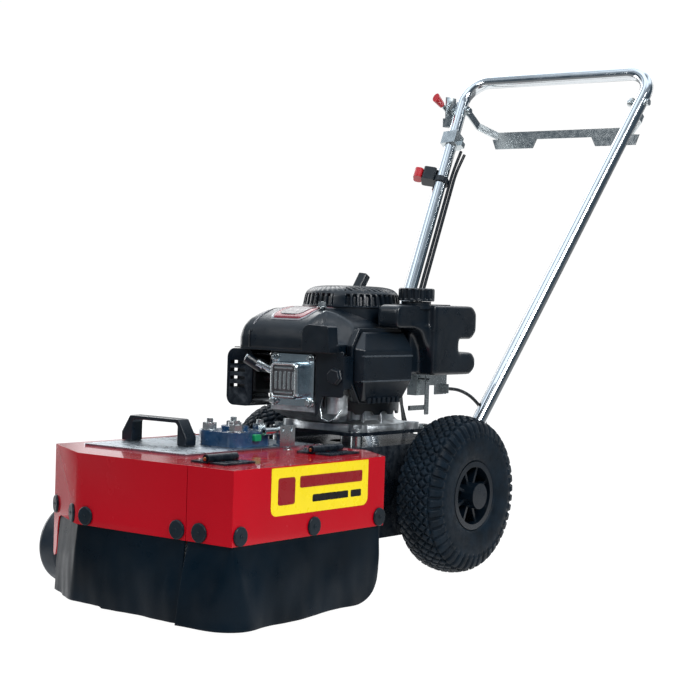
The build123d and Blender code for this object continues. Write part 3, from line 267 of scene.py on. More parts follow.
# ---------------------------------------------------------------- materials
# Colour, roughness and whatever else differs from material()'s own values.
PRINTED = dict(bump=0.02, vary=0.03, ior=1.35)
FINISHES = {
    "red_paint": ((0.40, 0.0012, 0.009), 0.24, dict(
        bump=0.03, bump_scale=420, vary=0.04, vary_scale=6, rough_vary=0.05, coat=1.0, coat_rough=0.04,
        ior=1.2)),
    "black_paint": ((0.002, 0.005, 0.010), 0.24, dict(
        bump=0.05, bump_scale=380, vary=0.2, coat=0.35, coat_rough=0.08, ior=1.2, wear=(0.06, 0.07, 0.08))),
    "galvanised": ((0.42, 0.47, 0.51), 0.30, dict(
        metal=1.0, bump=0.02, bump_scale=120, vary=0.08, vary_scale=30, rough_vary=0.06)),
    "zinc": ((0.56, 0.60, 0.61), 0.25, dict(
        metal=1.0, bump=0.012, bump_scale=160, vary=0.06, vary_scale=35, rough_vary=0.05)),
    "bright_tube": ((0.70, 0.73, 0.75), 0.12, dict(
        metal=1.0, bump=0.006, bump_scale=200, vary=0.05, vary_scale=14, rough_vary=0.05)),
    "bearing_blue": ((0.004, 0.036, 0.095), 0.24, dict(
        bump=0.25, bump_scale=190, vary=0.2, coat=0.6, coat_rough=0.12, wear=(0.12, 0.16, 0.22))),
    "steel": ((0.40, 0.41, 0.42), 0.34, dict(metal=1.0, bump=0.08, bump_scale=500, grain=(1, 1, 8))),
    "pulley_iron": ((0.16, 0.16, 0.17), 0.5, dict(metal=0.9, bump=0.2)),
    "belt_rubber": ((0.012, 0.012, 0.013), 0.7, dict(bump=0.3, bump_scale=700)),
    "skirt_rubber": ((0.0012, 0.005, 0.0095), 0.36, dict(
        bump=0.12, bump_scale=110, vary=0.3, vary_scale=9, rough_vary=0.10, ior=1.20)),
    "button_rubber": ((0.004, 0.010, 0.016), 0.40, dict(bump_scale=600, vary=0.25, ior=1.3)),
    "brush_wire": ((0.30, 0.29, 0.27), 0.38, dict(
        metal=1.0, bump=0.2, bump_scale=900, vary=0.35, vary_scale=200)),
    "tyre_rubber": ((0.003, 0.008, 0.014), 0.5, dict(
        bump=0.35, bump_scale=420, vary=0.3, vary_scale=40, rough_vary=0.1, ior=1.2, dust=0.006)),
    "support_rubber": ((0.009, 0.016, 0.025), 0.42, dict(bump=0.12, bump_scale=320, vary=0.25, ior=1.35)),
    "black_plastic": ((0.0015, 0.005, 0.0095), 0.32, dict(
        bump=0.22, bump_scale=950, vary=0.2, vary_scale=18, rough_vary=0.06)),
    "red_plastic": ((0.42, 0.012, 0.018), 0.28, dict(bump=0.08, bump_scale=600, vary=0.08, coat=0.3)),
    "cast_aluminium": ((0.50, 0.53, 0.55), 0.42, dict(
        metal=0.9, bump=0.6, bump_scale=420, vary=0.22, vary_scale=70, rough_vary=0.12)),
    "pressed_cover": ((0.46, 0.55, 0.60), 0.22, dict(
        metal=1.0, bump=0.015, bump_scale=160, vary=0.08, vary_scale=40, rough_vary=0.05)),
    "muffler_steel": ((0.10, 0.10, 0.105), 0.45, dict(metal=0.9, bump=0.3, vary=0.3)),
    "cable_black": ((0.004, 0.006, 0.009), 0.33, dict(bump=0.08, bump_scale=900, vary=0.15, ior=1.35)),
    "sticker_pale": ((0.26, 0.26, 0.28), 0.3, dict(bump=0.03, vary=0.05)),
    "sticker_red": ((0.17, 0.008, 0.02), 0.3, dict(bump=0.03, vary_scale=60)),
    "sticker_grey": ((0.045, 0.03, 0.035), 0.3, dict(bump=0.03, vary_scale=60)),
    "moulding_edge": ((0.045, 0.055, 0.065), 0.3, dict(bump=0.05, vary=0.1)),
    "label_yellow": ((0.80, 0.62, 0.012), 0.30, PRINTED),
    "label_crimson": ((0.22, 0.008, 0.012), 0.30, PRINTED),
    "label_black": ((0.004, 0.004, 0.005), 0.30, PRINTED),
    "pin_copper": ((0.42, 0.16, 0.07), 0.3, dict(metal=1.0, bump=0.02, vary=0.1)),
    "grease_cap_green": ((0.004, 0.24, 0.09), 0.35, dict(bump=0.03, vary=0.05, ior=1.4)),
}
DUST = (0.35, 0.33, 0.30, 1)
MADE = {}


def finish_of(name):
    """Material of one of the finishes, made when it is first asked for."""
    if name not in MADE:
        colour, rough, more = FINISHES[name]
        MADE[name] = material(name, colour, rough, **more)
    return MADE[name]


def material(name, colour, rough, metal=0.0, bump=0.15, bump_scale=300.0, vary=0.12, vary_scale=25.0,
             rough_vary=0.08, coat=0.0, coat_rough=0.05, ior=1.5, dust=0.0, wear=None, grain=None):
    """Principled material whose colour, roughness and relief all vary over the surface."""
    made = bpy.data.materials.new("finish_" + name)
    made.use_nodes = True
    tree = made.node_tree
    shader = tree.nodes["Principled BSDF"]
    link = tree.links.new
    socket_set(shader, {"Metallic": metal, "IOR": ior, "Coat Weight": coat, "Coat Roughness": coat_rough,
                        "Coat IOR": ior})
    place = tree.nodes.new("ShaderNodeMapping")
    link(tree.nodes.new("ShaderNodeTexCoord").outputs["Object"], place.inputs["Vector"])
    if grain:
        place.inputs["Scale"].default_value = grain

    def cloud(scale, detail=4.0):
        return clouded(tree, place.outputs["Vector"], scale, detail)

    def spread(fac, low, high):
        return mapped(tree, fac, 0.3, 0.7, low, high, "LINEAR")

    ramp = tree.nodes.new("ShaderNodeValToRGB")
    dark = [c * (1 - vary) for c in colour]
    light = [min(1.0, c * (1 + vary)) for c in colour]
    for element, position, tone in zip(ramp.color_ramp.elements, (0.35, 0.65), (dark, light)):
        element.position, element.color = position, (*tone, 1)
    link(cloud(vary_scale), ramp.inputs["Fac"])
    base = ramp.outputs["Color"]
    if dust:
        base = blended(tree, spread(cloud(vary_scale * 2.3, 8.0), 0.0, dust), base, DUST)
    if wear:
        pointiness = tree.nodes.new("ShaderNodeNewGeometry").outputs["Pointiness"]
        edge = mapped(tree, pointiness, 0.52, 0.60, 0.0, 1.0, "LINEAR")
        worn = calculated(tree, "MULTIPLY", edge, spread(cloud(90.0), 0.0, 0.8))
        base = blended(tree, worn, base, (*wear, 1))
    link(base, shader.inputs["Base Color"])
    link(spread(cloud(vary_scale * 3.1, 6.0), max(0.02, rough - rough_vary), min(1.0, rough + rough_vary)),
         shader.inputs["Roughness"])
    if bump:
        relief = tree.nodes.new("ShaderNodeBump")
        socket_set(relief, {"Strength": bump, "Distance": 0.0006})
        link(cloud(bump_scale, 6.0), relief.inputs["Height"])
        link(relief.outputs["Normal"], shader.inputs["Normal"])
    return made


# ---------------------------------------------------------------- mesh helpers
def piece(name, mesh, slot_name, body="chassis", node=None, paint=None, bevel=0.0, segments=2, smooth=40):
    """Links a mesh as a piece: rides on a body, takes a material and its finish modifiers."""
    obj = bpy.data.objects.new(name, mesh)
    bpy.context.scene.collection.objects.link(obj)
    mesh.materials.clear()
    mesh.materials.append(finish_of(paint or slot_name))
    finish(obj, bevel, segments, smooth)
    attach(obj, body)
    if node:
        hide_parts(*([node] if isinstance(node, str) else node))
    return obj


def solid(name, parts, slot_name, *place, **look):
    """Piece made of several (points, faces) parts."""
    return piece(name, merged(name, parts), slot_name, *place, **look)


def finish(obj, bevel, segments, smooth):
    """Smooth shading with sharp edges kept, and a bevel where one is given."""
    for polygon in obj.data.polygons:
        polygon.use_smooth = True
    if bevel:
        modifier = obj.modifiers.new("bevel", "BEVEL")
        modifier.width = bevel / 1000.0
        modifier.segments = segments
        modifier.limit_method = "ANGLE"
        modifier.angle_limit = math.radians(smooth)
        modifier.harden_normals = False
    edges = obj.modifiers.new("split", "EDGE_SPLIT")
    edges.split_angle = math.radians(smooth)
    obj.modifiers.new("normals", "WEIGHTED_NORMAL").weight = 100


def thickened(obj, thickness, offset):
    """Gives a sheet a thickness in metres in place of its finish modifiers."""
    obj.modifiers.clear()
    thick = obj.modifiers.new("thickness", "SOLIDIFY")
    thick.thickness, thick.offset = thickness, offset
    return obj


def softened(node, bevel):
    """Copy of a CAD node with its sharp edges rounded, which stands for the node."""
    mesh = NODES[node].data.copy()
    shape = bmesh.new()
    shape.from_mesh(mesh)
    bmesh.ops.remove_doubles(shape, verts=shape.verts, dist=2e-6)
    bmesh.ops.dissolve_limit(shape, angle_limit=math.radians(1.0), verts=shape.verts, edges=shape.edges)
    shape.to_mesh(mesh)
    shape.free()
    piece(node + "_finished", mesh, SLOT_OF[node], BODY_OF[node], node, bevel=bevel, smooth=35)


def build_mesh(name, points, faces, outward=True):
    """Mesh from machine-millimetre points, with its faces turned outwards."""
    mesh = bpy.data.meshes.new(name)
    mesh.from_pydata([P(*point) for point in points], [], faces)
    if outward:
        shape = bmesh.new()
        shape.from_mesh(mesh)
        bmesh.ops.recalc_face_normals(shape, faces=shape.faces)
        shape.to_mesh(mesh)
        shape.free()
    mesh.update()
    return mesh


def merged(name, parts):
    """One mesh from several (points, faces) lists."""
    points, faces = [], []
    for part_points, part_faces in parts:
        start = len(points)
        points += part_points
        faces += [tuple(start + index for index in face) for face in part_faces]
    return build_mesh(name, points, faces)


def grid_faces(rows, columns, wrap=False):
    last = columns if wrap else columns - 1
    return [(r * columns + c, (r + 1) * columns + c, (r + 1) * columns + (c + 1) % columns,
             r * columns + (c + 1) % columns) for r in range(rows - 1) for c in range(last)]


def end_faces(total, columns):
    """Faces that close the first and the last ring of a wrapped grid."""
    return [tuple(range(columns)), tuple(range(total - columns, total))[::-1]]


def spokes(count):
    """Cosine and sine of evenly spaced angles round a circle."""
    return [(math.cos(2 * math.pi * k / count), math.sin(2 * math.pi * k / count)) for k in range(count)]


def closed(line):
    return line + line[:1]


def running_lengths(line):
    """Length along a polyline up to each of its points."""
    lengths = [0.0]
    for a, b in zip(line, line[1:]):
        lengths.append(lengths[-1] + math.dist(a, b))
    return lengths


def normal_at(line, k):
    """Unit normal of a 2-D polyline at one of its points."""
    a, b = line[max(0, k - 1)], line[min(len(line) - 1, k + 1)]
    length = math.dist(a, b)
    return (a[1] - b[1]) / length, (b[0] - a[0]) / length


def smooth_line(points, count):
    """Evenly spaced points of a Catmull-Rom curve through 2-D points."""
    dense = []
    ends = [points[0]] + list(points) + [points[-1]]
    for a, b, c, d in zip(ends, ends[1:], ends[2:], ends[3:]):
        for step in range(20):
            t = step / 20
            dense.append(tuple(0.5 * (2 * q + (r - p) * t + (2 * p - 5 * q + 4 * r - s) * t * t
                                      + (3 * q - p - 3 * r + s) * t ** 3) for p, q, r, s in zip(a, b, c, d)))
    dense.append(tuple(points[-1]))
    return spaced(dense, count)


def spaced(line, count):
    """Evenly spaced points along a polyline of any dimension."""
    lengths = running_lengths(line)
    out, k = [], 0
    for index in range(count):
        want = lengths[-1] * index / (count - 1)
        while k < len(line) - 2 and lengths[k + 1] < want:
            k += 1
        span = lengths[k + 1] - lengths[k] or 1.0
        t = (want - lengths[k]) / span
        out.append(tuple(p + (q - p) * t for p, q in zip(line[k], line[k + 1])))
    return out


def rounded(points, radius, steps=6, loop=True):
    """2-D polygon with its corners rounded; radius is one number or one for each corner."""
    count = len(points)
    radii = radius if isinstance(radius, (list, tuple)) else [radius] * count
    out = []
    for index, (corner, r) in enumerate(zip(points, radii)):
        if not loop and index in (0, count - 1) or r <= 0:
            out.append(tuple(corner))
            continue
        b = Vector(corner)
        a, c = Vector(points[index - 1]), Vector(points[(index + 1) % count])
        to_a, to_c = (a - b).normalized(), (c - b).normalized()
        half = to_a.angle(to_c) / 2
        reach = min(r / math.tan(half), (a - b).length * 0.49, (c - b).length * 0.49)
        r = reach * math.tan(half)
        centre = b + (to_a + to_c).normalized() * (r / math.sin(half))
        start, end = b + to_a * reach - centre, b + to_c * reach - centre
        turn = math.atan2(start.x * end.y - start.y * end.x, start.dot(end))
        for step in range(steps + 1):
            angle = turn * step / steps
            co, si = math.cos(angle), math.sin(angle)
            out.append((centre.x + start.x * co - start.y * si, centre.y + start.x * si + start.y * co))
    return out


def oblong(a0, a1, b0, b1, radius, steps):
    """Rounded upright rectangle."""
    return rounded([(a0, b0), (a1, b0), (a1, b1), (a0, b1)], radius, steps)


AXES = {"X": lambda a, b, d: (d, a, b), "Y": lambda a, b, d: (a, d, b), "Z": lambda a, b, d: (a, b, d)}


def slab(outline, axis, low, high):
    """Prism of a 2-D outline between two planes across an axis."""
    place = AXES[axis]
    count = len(outline)
    points = [place(a, b, low) for a, b in outline] + [place(a, b, high) for a, b in outline]
    faces = [(i, (i + 1) % count, count + (i + 1) % count, count + i) for i in range(count)]
    faces += [tuple(range(count))[::-1], tuple(range(count, 2 * count))]
    return points, faces


def block(x0, x1, y0, y1, z0, z1):
    return slab([(x0, y0), (x1, y0), (x1, y1), (x0, y1)], "Z", z0, z1)


def revolved(profile, origin, direction, segments=48, closed_ends=True):
    """Solid of revolution from (radius, height) pairs along a direction from an origin."""
    axis = Vector(direction).normalized()
    side = axis.orthogonal().normalized()
    other = axis.cross(side)
    points = []
    for radius, height in profile:
        for co, si in spokes(segments):
            points.append(tuple(Vector(origin) + axis * height + (side * co + other * si) * radius))
    faces = grid_faces(len(profile), segments, wrap=True)
    if closed_ends:
        faces += end_faces(len(points), segments)
    return points, faces


def tube(line, radius, sides=10, closed_ends=True):
    """Round tube along a 3-D polyline."""
    points = []
    side = None
    for index, point in enumerate(line):
        heading = Vector(line[min(len(line) - 1, index + 1)]) - Vector(line[max(0, index - 1)])
        heading.normalize()
        if side is None:
            side = heading.orthogonal().normalized()
        else:
            side = (side - heading * side.dot(heading)).normalized()
        other = heading.cross(side)
        for co, si in spokes(sides):
            points.append(tuple(Vector(point) + (side * co + other * si) * radius))
    faces = grid_faces(len(line), sides, wrap=True)
    if closed_ends:
        faces += end_faces(len(points), sides)
    return points, faces


def clamp(value):
    """Value held between 0 and 1."""
    return max(0.0, min(1.0, value))


def ease(low, high, value):
    """Smooth step from 0 at the low end to 1 at the high end."""
    t = clamp((value - low) / (high - low))
    return t * t * (3 - 2 * t)


def groove(turn, half_width):
    """Depth from 0 to 1 of a groove that repeats once a turn."""
    off = abs((turn + 0.5) % 1.0 - 0.5)
    return 1 - ease(half_width * 0.45, half_width, off)


def looked_up(table, value):
    """Second column of a table at a value of the first, along straight lines between its rows."""
    for (v0, w0), (v1, w1) in zip(table, table[1:]):
        if value <= v1:
            return w0 + (w1 - w0) * clamp((value - v0) / (v1 - v0))
    return table[-1][1]


# ---------------------------------------------------------------- wheels
TYRE_HALF = [(56.5, 34.0), (60.0, 37.5), (66.0, 39.5), (74.0, 41.0), (88.0, 42.2), (99.0, 41.6), (101.5, 42.4),
             (104.0, 41.2), (110.0, 39.4), (118.0, 35.2), (124.0, 27.0), (128.0, 14.0), (129.8, 0.0)]
TYRE_MIDDLE = 95
PITCHES = 44
TREAD_DEPTH = 3.6


def tread(turn, across):
    """Depth of the tread's grooves at a number of pitches round and a distance across."""
    width = abs(across)
    if width > 66:
        return 0.0
    shoulder = ease(30, 34, width)
    diagonal = max(groove(turn + across / 17.0, 0.15), groove(turn - across / 17.0, 0.15))
    rib = groove(turn + 0.25, 0.22)
    centre = 1 - ease(0.6, 1.8, abs(width - 30) if width > 15 else width)
    middle = max(diagonal, centre)
    return TREAD_DEPTH * (middle * (1 - shoulder) + rib * shoulder * (1 - ease(52, 64, width)))


def tyre(wheel, side):
    """Tyre of the left or right wheel, with its tread cut into a fine surface of revolution."""
    fine = smooth_line(smooth_line(TYRE_HALF, 40)[::-1], 64)
    line = fine[::-1] + [(r, -x) for r, x in fine[1:]]
    lengths = running_lengths(line)
    middle = lengths[len(fine) - 1]
    columns = PITCHES * 13
    points = []
    for k, (r, x) in enumerate(line):
        nr, nx = normal_at(line, k)
        if nr * (r - TYRE_MIDDLE) + nx * x < 0:
            nr, nx = -nr, -nx
        for c, (co, si) in enumerate(spokes(columns)):
            depth = tread(PITCHES * c / columns, lengths[k] - middle)
            radius, off = r - nr * depth, x - nx * depth
            points.append((side * (WHEEL_X + off), radius * co, AXLE_Z + radius * si))
    parts = [(points, grid_faces(len(line), columns, wrap=True))]
    solid(wheel + "_tyre_treaded", parts, "tyre_rubber", wheel + "_wheel", wheel + "_tyre", smooth=60)


def support_tyre():
    half = [(10.3, 20), (22, 20), (24, 14), (40, 14), (42, 20), (50, 21), (55, 20.5), (58.5, 17.5), (60, 13)]
    profile = [(r, -x) for r, x in half] + half[::-1]
    wheel = revolved(closed(rounded(profile, 1.2, steps=3)), SUPPORT_WHEEL, (1, 0, 0), 96, False)
    solid("support_wheel_moulded", [wheel], "support_rubber", "support_roller", "support_wheel")


# ---------------------------------------------------------------- rubber skirts
SKIRT_TOP, SKIRT_BEND, SKIRT_FOOT = 150, 115, 8.0
SKIRT_SHEET = 0.003


def skirt_sheet(name, upper, lower, node, body, foot, corner_top, corner_foot, seed):
    """Rubber sheet whose upper line hangs straight and whose lower part flares to the lower line."""
    rows, columns, straight = 44, 150, 6
    levels = [SKIRT_TOP - (SKIRT_TOP - SKIRT_BEND) * k / straight for k in range(straight)]
    flared = rows - straight
    levels += [SKIRT_BEND - (SKIRT_BEND - SKIRT_FOOT) * (k / (flared - 1)) for k in range(flared)]
    points = []
    for z in levels:
        t = clamp((SKIRT_BEND - z) / (SKIRT_BEND - SKIRT_FOOT))
        flare = t ** 0.92
        corners = [tuple(p + (q - p) * flare for p, q in zip(a, b)) for a, b in zip(upper, lower)]
        corner = corner_top + (corner_foot - corner_top) * t
        line = spaced(rounded(corners, corner, steps=12, loop=False), columns)
        for c, (x, y) in enumerate(line):
            s = c / (columns - 1)
            nx, ny = normal_at(line, c)
            sway = noise.noise(Vector((s * 5.0 + seed, t * 1.1, seed))) * 4.2 * t
            sway += noise.noise(Vector((s * 16.0 + seed, t * 2.0, 3.0 + seed))) * 1.3 * t
            sway += folds(x, y, t) - 1.2 * t
            height = SKIRT_TOP + (foot(y, s) - SKIRT_TOP) * (SKIRT_TOP - z) / (SKIRT_TOP - SKIRT_FOOT)
            points.append((x - nx * sway, y - ny * sway, height))
    mesh = build_mesh(name, points, grid_faces(rows, columns), outward=False)
    obj = thickened(piece(name, mesh, "skirt_rubber", body, node, smooth=60), SKIRT_SHEET, -1)
    rim = obj.modifiers.new("rim", "BEVEL")
    rim.width, rim.segments, rim.limit_method, rim.angle_limit = 0.0006, 2, "ANGLE", math.radians(60)


def folds(x, y, t):
    """Soft vertical folds that fan out below the flap's front corner."""
    off = (x - 262) * 0.7 - (y + 664) * 0.7
    spread = 26 + 40 * t
    return 2.6 * t * math.sin(off / spread * 4.2) * math.exp(-(off / (spread * 2.2)) ** 2)


def front_foot(y, s):
    """Foot of the front skirt, whose left half hangs a little higher."""
    return SKIRT_FOOT + 2.5 * ease(0.52, 0.5, s)


def flap_foot(y, s):
    """Foot of the flap's skirt, with its rear lower corner rounded off."""
    q = clamp((y + 402) / 57)
    return SKIRT_FOOT + 3.0 * ease(-560, -430, y) + (1 - math.sqrt(max(0.0, 1 - q * q))) * 44


def skirts():
    """Two flared sheets in front and on the right, and a flat one on the left."""
    front, right = -661.5, 279.5
    skirt_sheet("main_skirt_front", [(-99.5, -610.1), (-9.3, front), (196, front)],
                [(-97, -625), (-14, -668), (196, -669.5)], "main_skirt", "chassis", front_foot,
                corner_top=5, corner_foot=34, seed=1.7)
    skirt_sheet("flap_skirt_sheet", [(201.5, front), (right, front), (right, -340)],
                [(199.5, -683), (297, -679), (286, -345)], "flap_skirt", "flap", flap_foot,
                corner_top=4, corner_foot=52, seed=6.1)
    left = slab([(-590, 150), (-590, 12), (-578, 8), (-300, 8), (-288, 20), (-288, 150)], "X", -125, -122)
    obj = solid("main_skirt_left", [left], "skirt_rubber", bevel=0.5)
    wheel = revolved([(14, -12), (14, 12)], (-124, *SUPPORT_WHEEL[1:]), (1, 0, 0), 32)
    cut(obj, bpy.data.objects.new("left_hole_cutter", build_mesh("cutter", *wheel)))


def cut(obj, cutter):
    """Takes the cutter's shape out of a piece and removes the cutter."""
    bpy.context.scene.collection.objects.link(cutter)
    modifier = obj.modifiers.new("cut", "BOOLEAN")
    modifier.object = cutter
    modifier.operation = "DIFFERENCE"
    modifier.solver = "EXACT"
    while obj.modifiers[0] != modifier:
        obj.modifiers.move(obj.modifiers.find("cut"), 0)
    with bpy.context.temp_override(object=obj, active_object=obj):
        bpy.ops.object.modifier_apply(modifier="cut")
    bpy.data.objects.remove(cutter)


# ---------------------------------------------------------------- engine covers
COWL_PLAN = [(-122, -193), (-100, -225), (70, -225), (88, -207), (88, 25), (68, 45), (-92, 45), (-122, 15)]
COWL_OUTLINE = spaced(closed(rounded(COWL_PLAN, [16, 12, 12, 10, 14, 16, 18, 18], 8)), 241)[:-1]
COWL_MIDDLE = (-14.0, -91.0)
COWL_FOOT, COWL_TOP = 358.5, 430.0
# Where the top turns down to the right side: x at each y.
CREASE = [(-253, 22), (-218, 33), (-185, 46), (-165, 59), (-141, 71), (-111, 80), (-73, 87), (47, 95)]
# Height of the top at each distance in from the outline.
SHOULDER = [(0, 377), (2.5, 388), (6, 396), (11, 403), (18, 409.5), (30, 417), (46, 424), (66, 429),
            (90, 430)]
COWL_SHARES = (0.0, 0.35, 0.8)
COWL_SHRINK = (1.0, 0.99, 0.978, 0.965, 0.95, 0.93, 0.905, 0.88, 0.85, 0.82, 0.79, 0.75, 0.71, 0.66, 0.6, 0.5,
               0.38, 0.2)


def edge_distance(x, y):
    """Distance in plan from the cowl's outline."""
    best = 1e9
    for (ax, ay), (bx, by) in zip(COWL_OUTLINE, COWL_OUTLINE[1:] + COWL_OUTLINE[:1]):
        length = (bx - ax) ** 2 + (by - ay) ** 2
        t = clamp(((x - ax) * (bx - ax) + (y - ay) * (by - ay)) / length)
        best = min(best, math.hypot(x - ax - (bx - ax) * t, y - ay - (by - ay) * t))
    return best


def cowl_height(x, y):
    """Height of the cowl's upper surface: rounded shoulders, a slope in front and a falling right side."""
    d = edge_distance(x, y)
    height = looked_up(SHOULDER, d)
    slope = 400 + 0.29 * (y + 218)
    if y < -111:
        height = min(height, max(slope, 377 + d * 2.2))
    past = x - looked_up(CREASE, y)
    if past > 0 and y < 7:
        height = min(height, max(372, min(slope, 430) - 1.15 * past + 1.0))
    return min(COWL_TOP, height)


def on_cowl(x, y, lift):
    return (x, y, cowl_height(x, y) + lift)


def about_middle(x, y, scale):
    """Point of the plan drawn in towards the cowl's middle, or pushed out from it."""
    cx, cy = COWL_MIDDLE
    return cx + (x - cx) * scale, cy + (y - cy) * scale


def cowl():
    """Cowl with the boss in its front right corner and the lip round its foot."""
    points = []
    for share in COWL_SHARES:
        points += [(x, y, COWL_FOOT + (cowl_height(x, y) - COWL_FOOT) * share) for x, y in COWL_OUTLINE]
    for scale in COWL_SHRINK:
        points += [on_cowl(*about_middle(x, y, scale), 0) for x, y in COWL_OUTLINE]
    columns = len(COWL_OUTLINE)
    faces = grid_faces(len(COWL_SHARES) + len(COWL_SHRINK), columns, wrap=True)
    faces.append(end_faces(len(points), columns)[1])
    parts = [(points, faces)]
    thickened(solid("engine_cowl_moulded", parts, "black_plastic", node="engine_cowl", smooth=60), 0.003, -1)
    boss = rounded([(32, 359.5), (32, 403), (84, 401), (87.5, 366), (87.5, 359.5)], [0.5, 14, 4, 4, 0.5], 8)
    solid("engine_cowl_boss", [slab(boss, "Y", -227, -203)], "black_plastic", bevel=2.2, segments=3)
    levels = ((0.985, 358.0), (1.006, 358.0), (1.006, 361.2), (0.985, 361.2))
    points = [(*about_middle(x, y, scale), z) for scale, z in levels for x, y in COWL_OUTLINE]
    lip = (points, grid_faces(len(levels), columns, wrap=True))
    solid("engine_cowl_lip", [lip], "black_plastic", bevel=0.5)


def cowl_patch(name, span_x, span_y, lift, paint, corner=0.25):
    """Thin sticker that follows the cowl's top surface."""
    (x0, x1), (y0, y1) = span_x, span_y
    rows, columns = 14, 18
    points = []
    for r in range(rows):
        v = r / (rows - 1)
        squeeze = 1 - corner * (1 - min(1.0, v * 5)) ** 2
        mid, half = (x0 + x1) / 2 + 6 * v, (x1 - x0) / 2 * squeeze
        for c in range(columns):
            points.append(on_cowl(mid - half + 2 * half * c / (columns - 1), y0 + (y1 - y0) * v, lift))
    mesh = build_mesh(name, points, grid_faces(rows, columns), outward=False)
    thickened(piece(name, mesh, "red_plastic", paint=paint), 0.0003, 0)


def cowl_details():
    """Plain stickers and two dark seams; the front stretch of the top seam is a light metal strip, a painted
    highlight.
    """
    cowl_patch("cowl_sticker_edge", (-58, 20), (-209, -131), 0.5, "sticker_pale")
    cowl_patch("cowl_sticker_field", (-54, 16), (-206, -132), 0.9, "sticker_red")
    cowl_patch("cowl_sticker_middle", (-46, 2), (-197, -155), 1.3, "sticker_grey", 0.5)
    front = [(-79, -225.6, z) for z in (362, 375, 388)] + [on_cowl(-77, -222.2, 0.2)]
    track = [(-79 + 18 * k / 14, -217 + 90 * k / 14) for k in range(15)]
    # Front stretch of the seam drawn in light metal: a painted highlight along the parting line. The rest of
    # the seam stays dark.
    seam_highlight = [on_cowl(x, y, 0.1) for x, y in track[:6]]
    dark = [on_cowl(x, y, -0.1) for x, y in track[5:]]
    solid("cowl_seam_painted_highlight", [tube(seam_highlight, 1.3, 8)], "pulley_iron", smooth=60)
    solid("cowl_seam_top", [tube(dark, 1.0, 6)], "cable_black", smooth=60)
    solid("cowl_seam_front", [tube(front, 1.0, 6)], "cable_black", smooth=60)


DOME_PROFILE = [(0.5, 467.0), (20, 466.9), (40, 466.4), (56, 465.0), (66, 462.6), (72.5, 459.2), (76.5, 455.0),
                (78.8, 450.0), (80.2, 443.0), (81.5, 435.5), (82, 430.4)]
DOME_FOOT = [(79.0, 396.0), (81.0, 430.5), (82.0, 430.5), (83.0, 431.2), (83.0, 432.6), (81.5, 433.4)]
DOME_SLOTS = 44


def dome():
    """Starter dome with upright slots round its side and swept grooves on its top."""
    line = smooth_line(DOME_PROFILE, 90)
    columns = DOME_SLOTS * 14
    points = []
    for k, (r, z) in enumerate(line):
        nr, nz = normal_at(line, k)
        on_side = ease(432.5, 434.5, z) * (1 - ease(450.5, 453.5, z))
        on_top = ease(42, 47, r) * (1 - ease(72, 75.5, r)) if z > 455 else 0.0
        for c, (co, si) in enumerate(spokes(columns)):
            turn = DOME_SLOTS * c / columns
            facing = 360 * c / columns
            slot = 0.0 if 285 < facing < 298 else groove(turn, 0.34) * on_side
            strength = 1 if facing > 298 or facing < 180 else 0.25
            depth = 5.0 * slot + 2.6 * on_top * groove(turn + (80 - r) * 0.085, 0.30) * strength
            radius = r - nr * depth
            points.append((radius * co, CRANK_Y + radius * si, z - nz * depth))
    faces = grid_faces(len(line), columns, wrap=True)
    faces.append(end_faces(len(points), columns)[0])
    solid("recoil_dome_moulded", [(points, faces)], "black_plastic", node="recoil_dome", smooth=50)
    solid("recoil_dome_foot", [revolved(DOME_FOOT, CRANK_FOOT, UP, 120, False)], "black_plastic", smooth=50)


def moulded(name, parts, slot_name, node):
    """Blow-moulded body: overlapping solids melted into one soft shape."""
    obj = solid(name, parts, slot_name, node=node)
    obj.modifiers.clear()
    melt = obj.modifiers.new("melt", "REMESH")
    melt.mode, melt.voxel_size, melt.use_smooth_shade = "VOXEL", 0.0022, True
    soft = obj.modifiers.new("soft", "SMOOTH")
    soft.factor, soft.iterations = 0.5, 24


def fuel_tank():
    """C-shaped tank with its shoulder over the air filter, a neck and the plate behind it."""
    outline = [(-20, 322.5), (92, 322.5), (106, 333), (106, 351), (95, 360.5), (55, 360.5), (55, 382.5),
               (93, 382.5), (106.5, 394), (106.5, 428), (94, 438.2), (-20, 438.2)]
    main = rounded(outline, [2, 12, 9, 9, 9, 5, 5, 9, 9, 12, 12, 2], 6)
    arm = rounded([(-108, 400), (-108, 438), (0, 438), (0, 400)], [8, 12, 0, 0], 6)
    web = [(-66, 404), (0, 404), (0, 340), (-19, 340), (-24, 368), (-40, 392)]
    step = [(-44.4, 323), (-10, 323), (-10, 420), (-44.4, 420)]
    ends = ((main, 145), (arm, 133), (web, 136), (step, 114))
    parts = [slab(shape, "X", 90.5, end) for shape, end in ends]
    moulded("fuel_tank_moulded", parts, "black_plastic", "fuel_tank")
    neck = revolved([(26, 432), (26, 438), (24.5, 439), (24.5, 444.3)], (FILLER_X, FILLER_Y, 0), UP, 60)
    solid("fuel_tank_neck", [neck], "black_plastic")
    strip = rounded([(-60, 437.2), (100, 437.2), (106, 439.6), (-60, 439.6)], 1, 2)
    solid("tank_back_plate", [slab(strip, "X", 84, 91)], "black_plastic", bevel=0.5)


def fuel_cap():
    """Cap with finger dents round its rim."""
    dents = 16
    columns = dents * 18
    side = [(28.0, 444.7), (29.4, 445.3), (29.8, 447), (29.8, 462.0), (29.2, 464.4), (27.4, 465.8), (24, 466)]
    profile = smooth_line(side, 40)
    points = []
    for r, z in profile:
        on_side = ease(446.5, 449, z) * (1 - ease(462.5, 465.6, z))
        for c, (co, si) in enumerate(spokes(columns)):
            radius = r - 2.6 * groove(dents * c / columns, 0.3) * on_side
            points.append((FILLER_X + radius * co, FILLER_Y + radius * si, z))
    faces = grid_faces(len(profile), columns, wrap=True) + end_faces(len(points), columns)
    solid("fuel_cap_ribbed", [(points, faces)], "black_plastic", "filler_cap", "fuel_cap", smooth=50)


